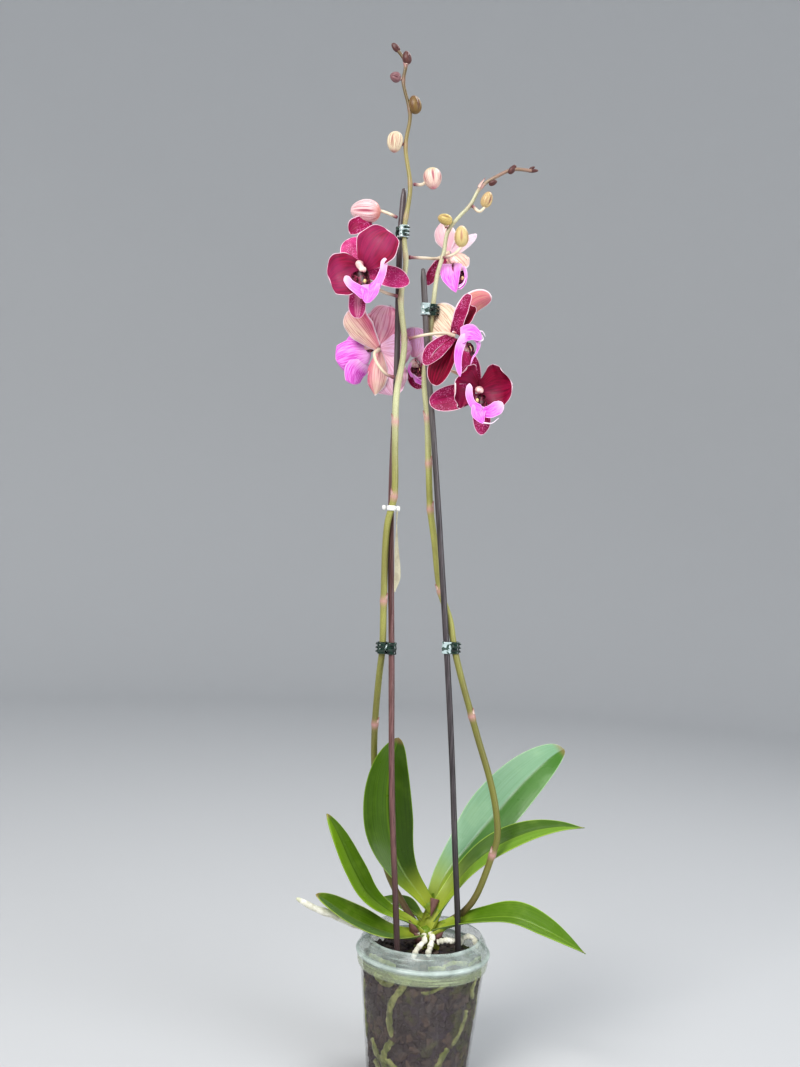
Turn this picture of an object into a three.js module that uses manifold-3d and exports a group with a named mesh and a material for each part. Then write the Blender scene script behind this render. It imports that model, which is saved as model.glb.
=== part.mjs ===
// A potted moth orchid: a clear growing pot of bark, a crown with seven leaves and aerial roots,
// and two flower spikes clipped to two stakes.
// Millimetres, +Z up, origin in the middle of the pot's flat bottom, +X right and +Y back.
import * as THREE from "three";
import { mergeVertices } from "three/addons/utils/BufferGeometryUtils.js";
import Module from "manifold-3d";

const wasm = await Module();
wasm.setup();

// ---- driving dimensions ----
const GAP = 0.3; // air left between two pieces that touch in the real plant
const POT = {
  wall: 1.2,
  bottomRadius: 45,
  bodyTopRadius: 55.5,
  skirtZ: 100,
  skirtRadius: 57.4,
  beadZ: 112,
  beadRadius: 60,
  beadHeight: 3.4,
  collarZ: 128,
  collarRadius: 51.5,
  drainRadius: 3.5,
  drainRing: 30,
  drainCount: 8,
};
const BARK = { bottomZ: 1.8, topZ: 110, heap: 4, lump: 1.6 };
const CROWN = { at: [2, 0, 124], radius: 8, halfHeight: 24 };
const STAKE_RADIUS = 2.8;
const SPIKE_RADIUS = 2.9;
const SPIKE_TIP_RADIUS = 1.3;
const PEDICEL_RADIUS = 1.3;
const LEAF_THICKNESS = 2.4;
const TEPAL_THICKNESS = 1.1;
const LIP_THICKNESS = 1.2;
const CLIP = { height: 11, wall: 2 };
const LABEL_CLIP = { height: 5, wall: 1.3 };

// ---- materials ----
const finish = (color, roughness, extra = {}) =>
  new THREE.MeshStandardMaterial({ color, roughness, metalness: 0, ...extra });
const clearPlastic = finish(0xd5dcd6, 0.35, { transparent: true, opacity: 0.45 });
const barkChips = finish(0x5f5645, 0.95);
const crownGreen = finish(0x9fb04a, 0.6);
const leafGreen = finish(0x4d7a22, 0.4);
const stakeBrown = finish(0x7a5a55, 0.5);
const stakeGrey = finish(0x4a4648, 0.5);
const spikeGreen = finish(0x9a9a58, 0.55);
const rootPale = finish(0xd8d6c0, 0.8);
const clipGreen = finish(0x14301f, 0.25);
const clipWhite = finish(0xe8e8e4, 0.4);
const labelCream = finish(0xc8c0a4, 0.7);
const sepalMaroon = finish(0x9a1f58, 0.6);
const petalWine = finish(0x7a0f35, 0.6);
const lipPink = finish(0xe878d8, 0.5);
const columnPeach = finish(0xf2d2cf, 0.5);
const budCream = finish(0xd8c0a8, 0.6);

// ---- solids ----
const vec = (p) => new THREE.Vector3(...p);
const along = (points) => new THREE.CatmullRomCurve3(points.map(vec), false, "centripetal");

// A closed geometry as a manifold solid.
function solidOf(geometry) {
  const bare = geometry.index ? geometry.toNonIndexed() : geometry.clone();
  bare.deleteAttribute("normal");
  bare.deleteAttribute("uv");
  const merged = mergeVertices(bare, 1e-3);
  return new wasm.Manifold(
    new wasm.Mesh({
      numProp: 3,
      vertProperties: merged.attributes.position.array,
      triVerts: new Uint32Array(merged.index.array),
    }),
  );
}

function geometryOf(solid) {
  const mesh = solid.getMesh();
  const geometry = new THREE.BufferGeometry();
  geometry.setAttribute("position", new THREE.BufferAttribute(mesh.vertProperties, 3));
  geometry.setIndex(new THREE.BufferAttribute(mesh.triVerts, 1));
  geometry.computeVertexNormals();
  return geometry;
}

const joined = (solids) => solids.reduce((all, next) => all.add(next));
const largest = (solid) =>
  solid.decompose().reduce((best, body) => (body.volume() > best.volume() ? body : best));

// Moves every point of a geometry to where shape(x, y, z) puts it.
function warped(geometry, shape) {
  const position = geometry.getAttribute("position");
  for (let i = 0; i < position.count; i++) {
    const p = shape(position.getX(i), position.getY(i), position.getZ(i));
    position.setXYZ(i, p.x, p.y, p.z);
  }
  return geometry;
}

// A round stalk along a route, its radius given along the length from 0 to 1.
function stalk(points, radiusAt, sides, steps) {
  const route = along(points);
  const frames = route.computeFrenetFrames(steps);
  return warped(new THREE.CylinderGeometry(1, 1, 1, sides, steps), (x, y, z) => {
    const t = y + 0.5;
    const ring = Math.round(t * steps);
    return route
      .getPointAt(t)
      .addScaledVector(frames.binormals[ring], x * radiusAt(t))
      .addScaledVector(frames.normals[ring], z * radiusAt(t));
  });
}
const even = (radius) => () => radius;
const taper = (from, to) => (t) => from + (to - from) * t;

// Half-widths of a blade along its length, as a share of its widest place.
const bladeEnd = 0.14;
const roundedEnd = (t, from) => Math.sqrt(Math.max(1 - Math.max((t - from) / (1 - from), 0) ** 2, 0));
const leafShape = (t) =>
  Math.max((0.3 + 0.7 * THREE.MathUtils.smoothstep(t, 0, 0.5)) * roundedEnd(t, 0.6), bladeEnd);
const sepalShape = (t) =>
  Math.max((0.35 + 0.65 * THREE.MathUtils.smoothstep(t, 0, 0.5)) * roundedEnd(t, 0.45), bladeEnd);
const petalShape = (t) =>
  Math.max((0.18 + 0.82 * THREE.MathUtils.smoothstep(t, 0, 0.5)) * roundedEnd(t, 0.5), bladeEnd);
const strapShape = () => 1;

// A leaf, sepal, petal or strap: a thin blade along its midrib, its upper face turned to faceAt(t).
function blade({ midrib, width, faceAt, shape, fold = 0, thickness, across = 2, steps = 7 }, grow = 0) {
  const route = along(midrib);
  return warped(new THREE.BoxGeometry(1, 1, 1, across, steps, 1), (x, y, z) => {
    const t = y + 0.5;
    const tangent = route.getTangentAt(t);
    const side = new THREE.Vector3().crossVectors(tangent, faceAt(t, route)).normalize();
    const up = new THREE.Vector3().crossVectors(side, tangent);
    const half = (width / 2) * shape(t) + grow;
    const edge = 1 - 0.5 * Math.abs(2 * x);
    return route
      .getPointAt(t)
      .addScaledVector(tangent, 2 * (t - 0.5) * grow)
      .addScaledVector(side, 2 * x * half)
      .addScaledVector(up, fold * half * 4 * x * x + z * (thickness * edge + 2 * grow));
  });
}
const facing = (from, to = from) => (t) => vec(from).lerp(vec(to), t);

// An egg with its long axis from one point to another.
function egg(from, to, radius, grow = 0, sides = 7) {
  const axis = vec(to).sub(vec(from));
  const shape = new THREE.SphereGeometry(1, sides, 5);
  shape.scale(radius + grow, axis.length() / 2 + grow, radius + grow);
  shape.applyQuaternion(
    new THREE.Quaternion().setFromUnitVectors(new THREE.Vector3(0, 1, 0), axis.clone().normalize()),
  );
  const middle = vec(from).addScaledVector(axis, 0.5);
  return shape.translate(middle.x, middle.y, middle.z);
}

const turned = (profile, segments) =>
  new THREE.LatheGeometry(
    profile.map(([r, z]) => new THREE.Vector2(r, z)),
    segments,
  ).rotateX(Math.PI / 2);

// ---- pot and bark ----
// The pot's wall, inset from the outside by depth: body, step to the skirt, bead and collar.
function wallProfile(depth) {
  const bead = POT.beadHeight / 2;
  return [
    [POT.bottomRadius - 2 - depth, depth],
    [POT.bottomRadius - depth, 2 + depth],
    [POT.bodyTopRadius - depth, POT.skirtZ],
    [POT.skirtRadius - depth, POT.skirtZ + 0.6 + depth],
    [POT.skirtRadius + 1 - depth, POT.beadZ - bead],
    [POT.beadRadius - depth, POT.beadZ],
    [POT.skirtRadius + 1 - depth, POT.beadZ + bead],
    [POT.collarRadius - depth, POT.collarZ],
  ];
}

function pot() {
  const outer = wallProfile(0);
  const inner = wallProfile(POT.wall).reverse();
  let solid = solidOf(turned([[0, 0], ...outer, ...inner, [0, POT.wall]], 32));
  for (let i = 0; i < POT.drainCount; i++) {
    const angle = (2 * Math.PI * (i + 0.5)) / POT.drainCount;
    const drill = new THREE.CylinderGeometry(POT.drainRadius, POT.drainRadius, 8, 6)
      .rotateX(Math.PI / 2)
      .translate(POT.drainRing * Math.cos(angle), POT.drainRing * Math.sin(angle), 0);
    solid = solid.subtract(solidOf(drill));
  }
  return solid;
}

// Radius of the pot's inside at a height in its plain body.
const insideRadius = (z) =>
  POT.bottomRadius +
  ((POT.bodyTopRadius - POT.bottomRadius) * z) / POT.skirtZ -
  POT.wall;

// The bark fills the pot up to the bead and is heaped a little towards the crown.
function bark() {
  const clear = 2 * GAP;
  const profile = [
    [0, BARK.bottomZ],
    [POT.bottomRadius - 2 - POT.wall - clear, BARK.bottomZ],
    [insideRadius(12) - clear, 12],
    [insideRadius(55) - clear, 55],
    [insideRadius(POT.skirtZ - 2) - clear, POT.skirtZ - 2],
    [insideRadius(POT.skirtZ) - clear, BARK.topZ],
    [40, BARK.topZ + 0.4 * BARK.heap],
    [26, BARK.topZ + 0.8 * BARK.heap],
    [13, BARK.topZ + BARK.heap],
    [0, BARK.topZ + BARK.heap],
  ];
  const lumpy = warped(turned(profile, 16), (x, y, z) => {
    const onTop = z >= BARK.topZ - 1 ? BARK.lump : 0;
    return new THREE.Vector3(x, y, z + onTop * Math.sin(0.31 * x + 1.3) * Math.cos(0.27 * y));
  });
  return solidOf(lumpy);
}

// ---- routes of stakes and spikes ----
const STAKES = {
  stake_left: {
    material: stakeBrown,
    route: [
      [-17, -35, 8], [-23.5, -32, 121], [-34.7, -22, 251], [-42, -11, 380],
      [-49.2, -8, 510], [-50.6, -7.5, 633], [-53.5, -5, 740], [-52.3, -4, 790],
    ],
  },
  stake_right: {
    material: stakeGrey,
    route: [
      [33, -19, 8], [29.9, -18, 126], [23.2, -15, 207], [16.6, -12, 285], [6.7, -9, 384],
      [-6.7, -6, 504], [-13.9, -4, 566], [-22.9, -4, 636], [-31.6, -3, 720],
    ],
  },
};
const SPIKES = {
  spike_left: {
    route: [
      [-2, 6, 124], [-17.6, 13, 145], [-34.7, 20, 173], [-46.3, 24, 218], [-52.2, 24, 268],
      [-53.6, 16, 308], [-52, 2, 353], [-50.2, -8, 381], [-51.2, -12, 423], [-51.6, -14, 489],
      [-46.8, -15, 516], [-48.4, -15, 561], [-49.4, -15, 605], [-45.2, -14, 640],
      [-45, -14, 654], [-50, -12.5, 690], [-47.3, -12, 722], [-50.2, -11.5, 750],
      [-46.9, -10, 790], [-53, -6, 828], [-50.4, -5, 856], [-58, -3, 886], [-57, -1, 904],
      [-66, 0, 917],
    ],
    tipBuds: [[[-55, -2, 902], [-57, -2, 914], 4.2], [[-63, 0, 914], [-70, 0, 921], 3]],
  },
  spike_right: {
    route: [
      [4, 4, 126], [21.2, 2, 138], [34.6, -4, 151], [44, -6, 166], [56.3, -8, 203],
      [60, -8, 218], [57.7, -8, 243], [51.2, -7, 269], [39, -7, 304], [32.3, -7, 324],
      [21.7, -7, 356], [13.6, -6, 384], [8.6, -2, 408], [-1.3, 1, 434], [-8.9, 2, 479],
      [-14, 2, 507], [-17.6, 2, 548], [-20.9, 3, 588], [-25.6, 4, 626], [-23, 4, 650],
      [-21.2, 0, 684], [-18.5, 1, 717], [-14, 2, 736], [-11, 1, 756], [-1.1, 0, 770],
      [7.3, -2, 779], [16, -2, 796], [32, -4, 807], [44, -6, 812], [60, -8, 811],
    ],
    tipBuds: [[[40, -6, 808], [47, -6, 817], 3], [[55, -7, 810], [65, -8, 812], 2.6]],
  },
};
const spikeRadius = (t) =>
  SPIKE_RADIUS + (SPIKE_TIP_RADIUS - SPIKE_RADIUS) * THREE.MathUtils.smoothstep(t, 0.45, 1);

function spike({ route, tipBuds }, grow) {
  const stem = solidOf(stalk(route, (t) => spikeRadius(t) + grow, 6, 46));
  return joined([stem, ...tipBuds.map(([from, to, radius]) => solidOf(egg(from, to, radius, grow, 5)))]);
}

// ---- clips ----
// A clip closes round a stake and a spike: an outline with round ends, seen from above.
const CLIPS = {
  clip_left_upper: { stake: [-53.5, -4.7], spike: [-50.2, -11.4], z: 750, size: CLIP, material: clipGreen },
  clip_left_lower: { stake: [-42, -11], spike: [-50.2, -8], z: 381, size: CLIP, material: clipGreen },
  clip_right_upper: { stake: [-27.6, -3.2], spike: [-21.2, 0], z: 684, size: CLIP, material: clipGreen },
  clip_right_lower: { stake: [6.7, -9], spike: [13.6, -6], z: 384, size: CLIP, material: clipGreen },
  label_clip: { stake: [-48.9, -8], spike: [-48.6, -14.6], z: 505, size: LABEL_CLIP, material: clipWhite },
};

function clip({ stake, spike: held, z, size }, grow) {
  const a = new THREE.Vector2(...stake);
  const b = new THREE.Vector2(...held);
  const radius = SPIKE_RADIUS + size.wall + grow;
  const turn = Math.atan2(b.y - a.y, b.x - a.x);
  const outline = new THREE.Shape()
    .absarc(a.x, a.y, radius, turn + Math.PI / 2, turn + 1.5 * Math.PI, false)
    .absarc(b.x, b.y, radius, turn - Math.PI / 2, turn + Math.PI / 2, false);
  const height = size.height + 2 * grow;
  return solidOf(
    new THREE.ExtrudeGeometry(outline, { depth: height, bevelEnabled: false, curveSegments: 4 }).translate(
      0,
      0,
      z - height / 2,
    ),
  );
}

const LABEL = {
  midrib: [[-43.9, -15, 501], [-42.6, -18, 470], [-40.5, -17, 446], [-42, -15, 431]],
  width: 9,
  faceAt: facing([1, 0.15, 0], [0.5, -1, 0]),
  shape: strapShape,
  thickness: 1.6,
  across: 4,
  steps: 12,
};

// ---- leaves ----
const LEAVES = {
  leaf_upright: {
    midrib: [[6, 3, 146], [-5, 5, 159], [-21, 6, 179], [-33.6, 5, 207], [-39, 3, 241], [-38, 4, 272], [-31.5, 8, 299]],
    width: 40,
    faceAt: facing([0.2, -0.8, 0.6], [0.1, -1, 0.1]),
  },
  leaf_left: {
    midrib: [[-3, -2, 133], [-15, -6, 142], [-34, -10, 152], [-51, -14, 169], [-63.5, -16, 190], [-77, -18, 213], [-90.6, -20, 234]],
    width: 34,
    faceAt: facing([0.3, -0.3, 0.9], [0.62, -0.47, 0.63]),
  },
  leaf_lower_left: {
    midrib: [[-3, -6, 126], [-21.5, -12, 132], [-45, -18, 140], [-66, -24, 150], [-84, -28, 161], [-96.4, -30, 166]],
    width: 30,
    faceAt: facing([0.2, 0, 1], [0.35, -0.05, 0.93]),
  },
  leaf_right_large: {
    midrib: [[7.4, 8, 147], [16.4, 14, 173], [37.3, 24, 200], [64, 34, 231], [90.5, 44, 260], [116.6, 52, 283], [125.3, 55, 288]],
    width: 42,
    faceAt: facing([-0.35, -0.85, 0.35]),
  },
  leaf_right_middle: {
    midrib: [[9, -2, 139], [21.6, -4, 162], [38, -6, 185], [61, -8, 205], [89.3, -10, 221], [115, -12, 229], [136.6, -14, 231.7]],
    width: 36,
    faceAt: facing([-0.6, -0.5, 0.6], [-0.2, -0.4, 0.87]),
  },
  leaf_right_lower: {
    midrib: [[10, -5, 130], [33, -12, 142], [55, -16, 148.5], [78.6, -20, 151], [105, -24, 143], [125, -27, 134], [140.4, -30, 126.3]],
    width: 34,
    faceAt: facing([0, -0.3, 0.95]),
  },
  leaf_back_small: {
    midrib: [[0, 10, 134], [-11, 22, 139], [-24, 30, 143], [-38, 38, 145]],
    width: 20,
    faceAt: facing([0.1, -0.3, 0.95]),
  },
};
const leaf = (spec, grow) =>
  solidOf(blade({ ...spec, shape: leafShape, fold: 0.18, thickness: LEAF_THICKNESS, steps: 8 }, grow));

// ---- roots ----
// A point just inside the pot's wall, at an angle from the front and a height.
function byWall(degrees, z, rootRadius) {
  const angle = THREE.MathUtils.degToRad(degrees);
  const r = insideRadius(z) - rootRadius - 2 * GAP;
  return [r * Math.sin(angle), -r * Math.cos(angle), z];
}
const ROOTS = {
  root_aerial_left: { route: [[-4, -4, 127], [-38, -12, 136], [-67, -20, 142], [-88, -26, 150], [-114, -30, 161.5]], radius: 2.2 },
  root_front_left: { route: [[0, -8, 128], [1.5, -15, 124], [-7.6, -26, 118], [-10, -33, 112]], radius: 2 },
  root_front_middle: { route: [[5, -8, 130], [8, -17, 122], [8, -26, 115], [9, -30, 109]], radius: 2.2 },
  root_surface_right: { route: [[11, -22, 120], [19, -22, 120.5], [27, -20, 121]], radius: 2 },
  root_arched_right: { route: [[36, -8, 113], [36.5, -9, 121], [40.5, -10, 127], [44, -11, 121], [44.5, -12, 113]], radius: 1.9 },
  root_in_pot_left: { route: [byWall(-18, 93, 3), byWall(-26, 80, 3), byWall(-36, 66, 3), byWall(-50, 55, 3)], radius: 3 },
  root_in_pot_low: { route: [byWall(-20, 40, 3), byWall(-26, 24, 3), byWall(-12, 16, 3)], radius: 3 },
  root_in_pot_right: { route: [byWall(44, 96, 2.5), byWall(58, 80, 2.5), byWall(50, 60, 2.5), byWall(62, 38, 2.5)], radius: 2.5 },
};
const root = ({ route, radius }, grow) => solidOf(stalk(route, taper(radius + grow, 0.8 * radius + grow), 6, 7));

// ---- flowers ----
// Each flower hangs at a place and faces a way. Tips are given from the place where its parts meet.
const FLOWERS = {
  flower_upper_left: {
    at: [-85, -22, 712],
    face: [-0.3, -0.93, 0.1],
    pedicel: [[-53, -12.6, 692.5], [-67, -14, 696], [-79, -15, 705]],
    sepals: [{ tip: [-12, 12, 27], width: 19 }, { tip: [42, 1, -3], width: 20 }, { tip: [-4, 5, -37], width: 16 }],
    petals: [{ tip: [19, -4, 35], width: 36 }, { tip: [-26, 5, -6], width: 36 }],
    lip: { left: [-12, -12, -16], bottom: [9, -20, -33], right: [19, -14, 6], width: 13 },
    column: [-4, -10, 4],
  },
  flower_lower_left: {
    at: [-69, 4, 647],
    face: [-0.7, 0.7, 0],
    pedicel: [[-52.5, -17, 620], [-60, -17, 623], [-68, -16, 632], [-71, -9, 641]],
    sepals: [{ tip: [-28, 5, 34], width: 18 }, { tip: [27, 16, 8], width: 22 }, { tip: [-3, 8, -36], width: 16 }],
    petals: [{ tip: [5, 12, 40], width: 28 }, { tip: [14, 14, -38], width: 26 }],
    lip: { left: [-28, 19, 10], bottom: [-32, 27, -8], right: [-13, 25, -24], width: 14 },
    column: [-7, 7, 0],
  },
  flower_centre_back: {
    at: [-35, 20, 642],
    face: [-0.35, -0.55, -0.75],
    pedicel: [[-26.5, 7.5, 622], [-28, 16, 624], [-32, 24, 634]],
    sepals: [{ tip: [8, 12, 28], width: 18 }, { tip: [1, 2, -23], width: 16 }, { tip: [17, 6, -14], width: 14 }],
    petals: [{ tip: [-5, -6, 28], width: 26 }, { tip: [22, 10, 10], width: 24 }],
    lip: { left: [-9, -12, -1], bottom: [-4, -13, -17], right: [7, -12, -9], width: 10 },
    column: [-2, -6, -5],
  },
  flower_upper_right: {
    at: [-8, 16, 739],
    face: [0.35, -0.45, -0.8],
    pedicel: [[-44.3, -8, 728.5], [-31, 2, 731], [-18, 12, 734]],
    sepals: [{ tip: [6, 12, 28], width: 18 }, { tip: [18, 4, -9], width: 16 }, { tip: [-19, -2, -28], width: 13 }],
    petals: [{ tip: [-8, 2, 29], width: 24 }, { tip: [25, 6, 17], width: 22 }],
    lip: { left: [-5, -13, -15], bottom: [4, -17, -35], right: [14, -12, -16], width: 13 },
    column: [2, -6, -7],
  },
  flower_middle_right: {
    at: [1, -18, 659],
    face: [0.8, -0.55, -0.15],
    pedicel: [[-41, -16.5, 655], [-26, -17, 659], [-10, -18, 661]],
    sepals: [{ tip: [-22, 4, 22], width: 24 }, { tip: [9, -9, 33], width: 11 }, { tip: [-27, -3, -27], width: 17 }],
    petals: [{ tip: [28, 2, 39], width: 15 }, { tip: [-18, 3, -40], width: 19 }],
    lip: { left: [1, -16, -35], bottom: [15, -14, -9], right: [10, -14, -25], width: 11 },
    column: [8, -7, -8],
  },
  flower_lower_right: {
    at: [22, -14, 612],
    face: [0.15, -0.97, -0.1],
    pedicel: [[-21, 5, 634], [-8, 2, 633], [8, -4, 626]],
    sepals: [{ tip: [-14, 6, 34], width: 17 }, { tip: [-41, 3, -10], width: 20 }, { tip: [6, 5, -36], width: 16 }],
    petals: [{ tip: [-18, -10, 6], width: 36 }, { tip: [30, -12, 3], width: 38 }],
    lip: { left: [-10, -14, -2], bottom: [1, -24, -31], right: [20, -18, -15], width: 12 },
    column: [-1, -10, -1],
  },
};

// A sepal or petal springs from the flower's middle and is bowed towards the flower's face.
function tepal(flower, { tip, width }, shape, lift, steps, grow) {
  const face = vec(flower.face).normalize();
  const from = vec(flower.at).addScaledVector(face, lift);
  const to = from.clone().add(vec(tip));
  const middle = from.clone().lerp(to, 0.5).addScaledVector(face, 0.06 * vec(tip).length());
  const midrib = [from, middle, to].map((p) => p.toArray());
  const spec = { midrib, width, faceAt: facing(flower.face), shape, fold: 0.1, thickness: TEPAL_THICKNESS };
  return solidOf(blade({ ...spec, steps }, grow));
}

function sepals(flower, grow) {
  const stem = solidOf(stalk([...flower.pedicel, flower.at], even(PEDICEL_RADIUS + grow), 5, 6));
  return joined([stem, ...flower.sepals.map((one) => tepal(flower, one, sepalShape, 0, 4, grow))]);
}

const petals = (flower, grow) =>
  joined(flower.petals.map((one) => tepal(flower, one, petalShape, 1.8, 5, grow)));

// The lip: a band curved like a U in front of the flower, on a claw from the column's foot.
function lip(flower, grow) {
  const { left, bottom, right, width } = flower.lip;
  const at = vec(flower.at);
  const place = (offset) => at.clone().add(vec(offset)).toArray();
  const faceAt = (t, route) =>
    at.clone().sub(route.getPointAt(t)).normalize().cross(route.getTangentAt(t));
  const thin = { shape: strapShape, thickness: LIP_THICKNESS };
  const band = { midrib: [place(left), place(bottom), place(right)], width, faceAt, ...thin };
  const foot = vec(bottom).multiplyScalar(0.22).addScaledVector(vec(flower.face).normalize(), 3);
  const claw = { midrib: [place(foot.toArray()), place(bottom)], width: 0.7 * width, faceAt: facing(flower.face), ...thin };
  return joined([
    solidOf(blade({ ...band, across: 1, steps: 6 }, grow)),
    solidOf(blade({ ...claw, across: 1, steps: 2 }, grow)),
  ]);
}

function column(flower, grow) {
  const face = vec(flower.face).normalize();
  const from = vec(flower.at).addScaledVector(face, 3.4);
  const to = vec(flower.at).add(vec(flower.column)).addScaledVector(face, 2);
  return solidOf(egg(from.toArray(), to.toArray(), 2.6, grow, 5));
}

// ---- buds ----
// Each bud is an egg from its base to its tip, on its own pedicel.
const BUDS = {
  bud_opening: { pedicel: [[-57.2, -9.5, 763], [-66, -7, 767], [-73, -6, 769]], base: [-72, -6, 768], tip: [-99, -6, 768], radius: 10.5 },
  bud_left_1: { pedicel: [[-55.2, -6.5, 829], [-61, -7, 831]], base: [-61, -7, 839], tip: [-64, -7, 822], radius: 7 },
  bud_left_2: { pedicel: [[-44, -9.5, 793], [-36, -9, 796]], base: [-35, -8, 796], tip: [-19, -8, 803], radius: 7.6 },
  bud_left_3: { pedicel: [[-49, -5, 862], [-46, -6, 863]], base: [-45, -6, 857], tip: [-48.5, -6, 873], radius: 6 },
  bud_left_4: { pedicel: [[-60, -3, 888], [-62, -4, 889]], base: [-60.4, -4, 888], tip: [-70, -4, 891], radius: 4.6 },
  bud_right_1: { pedicel: [[-12.6, -1.8, 758], [-14, -3, 762]], base: [-8, -4, 763], tip: [-21, -4, 767], radius: 5 },
  bud_right_2: { pedicel: [[-14, -1.6, 731], [-4, -4, 735], [2, -4, 743]], base: [2, -4, 742], tip: [3, -4, 758], radius: 5 },
  bud_right_3: { pedicel: [[9.5, -4.4, 778], [15.6, -6, 773], [20, -6, 777]], base: [19.5, -6, 777], tip: [24, -6, 791], radius: 5.2 },
};

function bud({ pedicel, base, tip, radius }, grow) {
  const heart = vec(base).lerp(vec(tip), 0.3).toArray();
  const stem = solidOf(stalk([...pedicel, heart], even(PEDICEL_RADIUS + grow), 5, 4));
  return joined([stem, solidOf(egg(base, tip, radius, grow))]);
}

// ---- assembly ----
// Pieces in the order in which they take their room: each is trimmed clear of those before it.
const pieces = [];
const add = (group, name, material, at, make) => pieces.push({ group, name, material, at, make });
const addAll = (group, table, material, atOf, make) =>
  Object.entries(table).forEach(([name, spec]) =>
    add(group, name, spec.material ?? material, atOf(spec), (grow) => make(spec, grow)),
  );

const ground = () => [0, 0, 0];
const firstPoint = ({ route }) => route[0];
add("pot", "nursery_pot", clearPlastic, ground(), () => pot());
addAll("support", STAKES, null, firstPoint, ({ route }, grow) =>
  solidOf(stalk(route, even(STAKE_RADIUS + grow), 8, 10)),
);
add("plant", "plant_crown", crownGreen, CROWN.at, (grow) => {
  const [x, y, z] = CROWN.at;
  return solidOf(egg([x, y, z - CROWN.halfHeight], [x, y, z + CROWN.halfHeight], CROWN.radius, grow, 10));
});
addAll("plant", SPIKES, spikeGreen, firstPoint, spike);
addAll("support", CLIPS, clipGreen, ({ stake, z }) => [...stake, z], clip);
add("support", "plant_label", labelCream, LABEL.midrib[0], (grow) => solidOf(blade(LABEL, grow)));
addAll("plant", ROOTS, rootPale, firstPoint, root);
addAll("plant", LEAVES, leafGreen, ({ midrib }) => midrib[0], leaf);
for (const [name, flower] of Object.entries(FLOWERS)) {
  add(name, name + "_sepals", sepalMaroon, flower.at, (grow) => sepals(flower, grow));
  add(name, name + "_petals", petalWine, flower.at, (grow) => petals(flower, grow));
  add(name, name + "_column", columnPeach, flower.at, (grow) => column(flower, grow));
  add(name, name + "_lip", lipPink, flower.at, (grow) => lip(flower, grow));
}
addAll("plant", BUDS, budCream, ({ base }) => base, bud);
add("pot", "bark_mix", barkChips, ground(), () => bark());

const boxesMeet = (a, b) => [0, 1, 2].every((k) => a.min[k] < b.max[k] && b.min[k] < a.max[k]);

const orchid = new THREE.Group();
const groups = new Map();
const placed = [];
for (const { group, name, material, at, make } of pieces) {
  let solid = make(0);
  for (const other of placed) {
    if (!boxesMeet(solid.boundingBox(), other.grown.boundingBox())) continue;
    if (solid.intersect(other.grown).volume() > 0) solid = largest(solid.subtract(other.grown));
  }
  placed.push({ grown: make(GAP) });
  if (!groups.has(group)) {
    groups.set(group, new THREE.Group());
    orchid.add(groups.get(group));
  }
  const mesh = new THREE.Mesh(geometryOf(solid).translate(...vec(at).negate().toArray()), material);
  mesh.name = name;
  mesh.position.set(...at);
  groups.get(group).add(mesh);
}

export default orchid;
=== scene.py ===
"""A potted moth orchid: clear growing pot, bark, leaves, roots and two clipped flower spikes."""

import math

import bmesh
import bpy
import numpy as np
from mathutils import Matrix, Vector


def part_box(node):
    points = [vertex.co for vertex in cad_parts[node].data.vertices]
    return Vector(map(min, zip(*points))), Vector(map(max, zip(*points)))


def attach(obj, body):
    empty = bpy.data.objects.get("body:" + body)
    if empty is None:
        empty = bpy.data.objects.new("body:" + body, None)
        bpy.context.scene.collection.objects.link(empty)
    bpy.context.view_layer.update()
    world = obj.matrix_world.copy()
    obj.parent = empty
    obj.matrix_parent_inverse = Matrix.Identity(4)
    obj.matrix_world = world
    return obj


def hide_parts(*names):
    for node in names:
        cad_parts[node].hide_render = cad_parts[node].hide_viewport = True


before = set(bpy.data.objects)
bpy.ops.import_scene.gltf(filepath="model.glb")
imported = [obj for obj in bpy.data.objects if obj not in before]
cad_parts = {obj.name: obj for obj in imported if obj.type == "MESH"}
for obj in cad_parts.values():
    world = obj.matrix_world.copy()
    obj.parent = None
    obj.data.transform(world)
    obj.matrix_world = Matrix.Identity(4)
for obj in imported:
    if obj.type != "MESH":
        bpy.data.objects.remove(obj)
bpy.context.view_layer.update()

# ---- camera ----
# A level camera about a metre away, turned a little on its own axis, that takes in the whole
# plant from the pot's lower half to the topmost bud.
CAMERA_AT = (-0.0399, -1.03, 0.483)
CAMERA_ROLL = math.radians(3)
CAMERA_LENS = 38.8


def add_object(name, data):
    made = bpy.data.objects.new(name, data)
    bpy.context.scene.collection.objects.link(made)
    return made


camera = add_object("camera", bpy.data.cameras.new("camera"))
camera.data.lens = CAMERA_LENS
camera.data.sensor_width = 36
camera.data.clip_end = 20
camera.location = CAMERA_AT
camera.rotation_mode = "XYZ"
camera.rotation_euler = (math.pi / 2, -CAMERA_ROLL, 0)
bpy.context.scene.camera = camera


# ---- growing pot ----
# A thermoformed pot of clear, slightly frosted plastic: a tapered body, a skirt band with
# fine ridges, a rolled bead that is its widest place, and a soft collar that leans inwards.
def connect(tree, socket, value):
    """Feeds a socket with another node's output, or sets it to a plain value."""
    if isinstance(value, bpy.types.NodeSocket):
        tree.links.new(value, socket)
    else:
        socket.default_value = value


def add_node(tree, kind, inputs=(), **settings):
    made = tree.nodes.new(kind)
    for setting, value in settings.items():
        setattr(made, setting, value)
    for socket, value in dict(inputs).items():
        connect(tree, made.inputs[socket], value)
    return made


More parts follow.
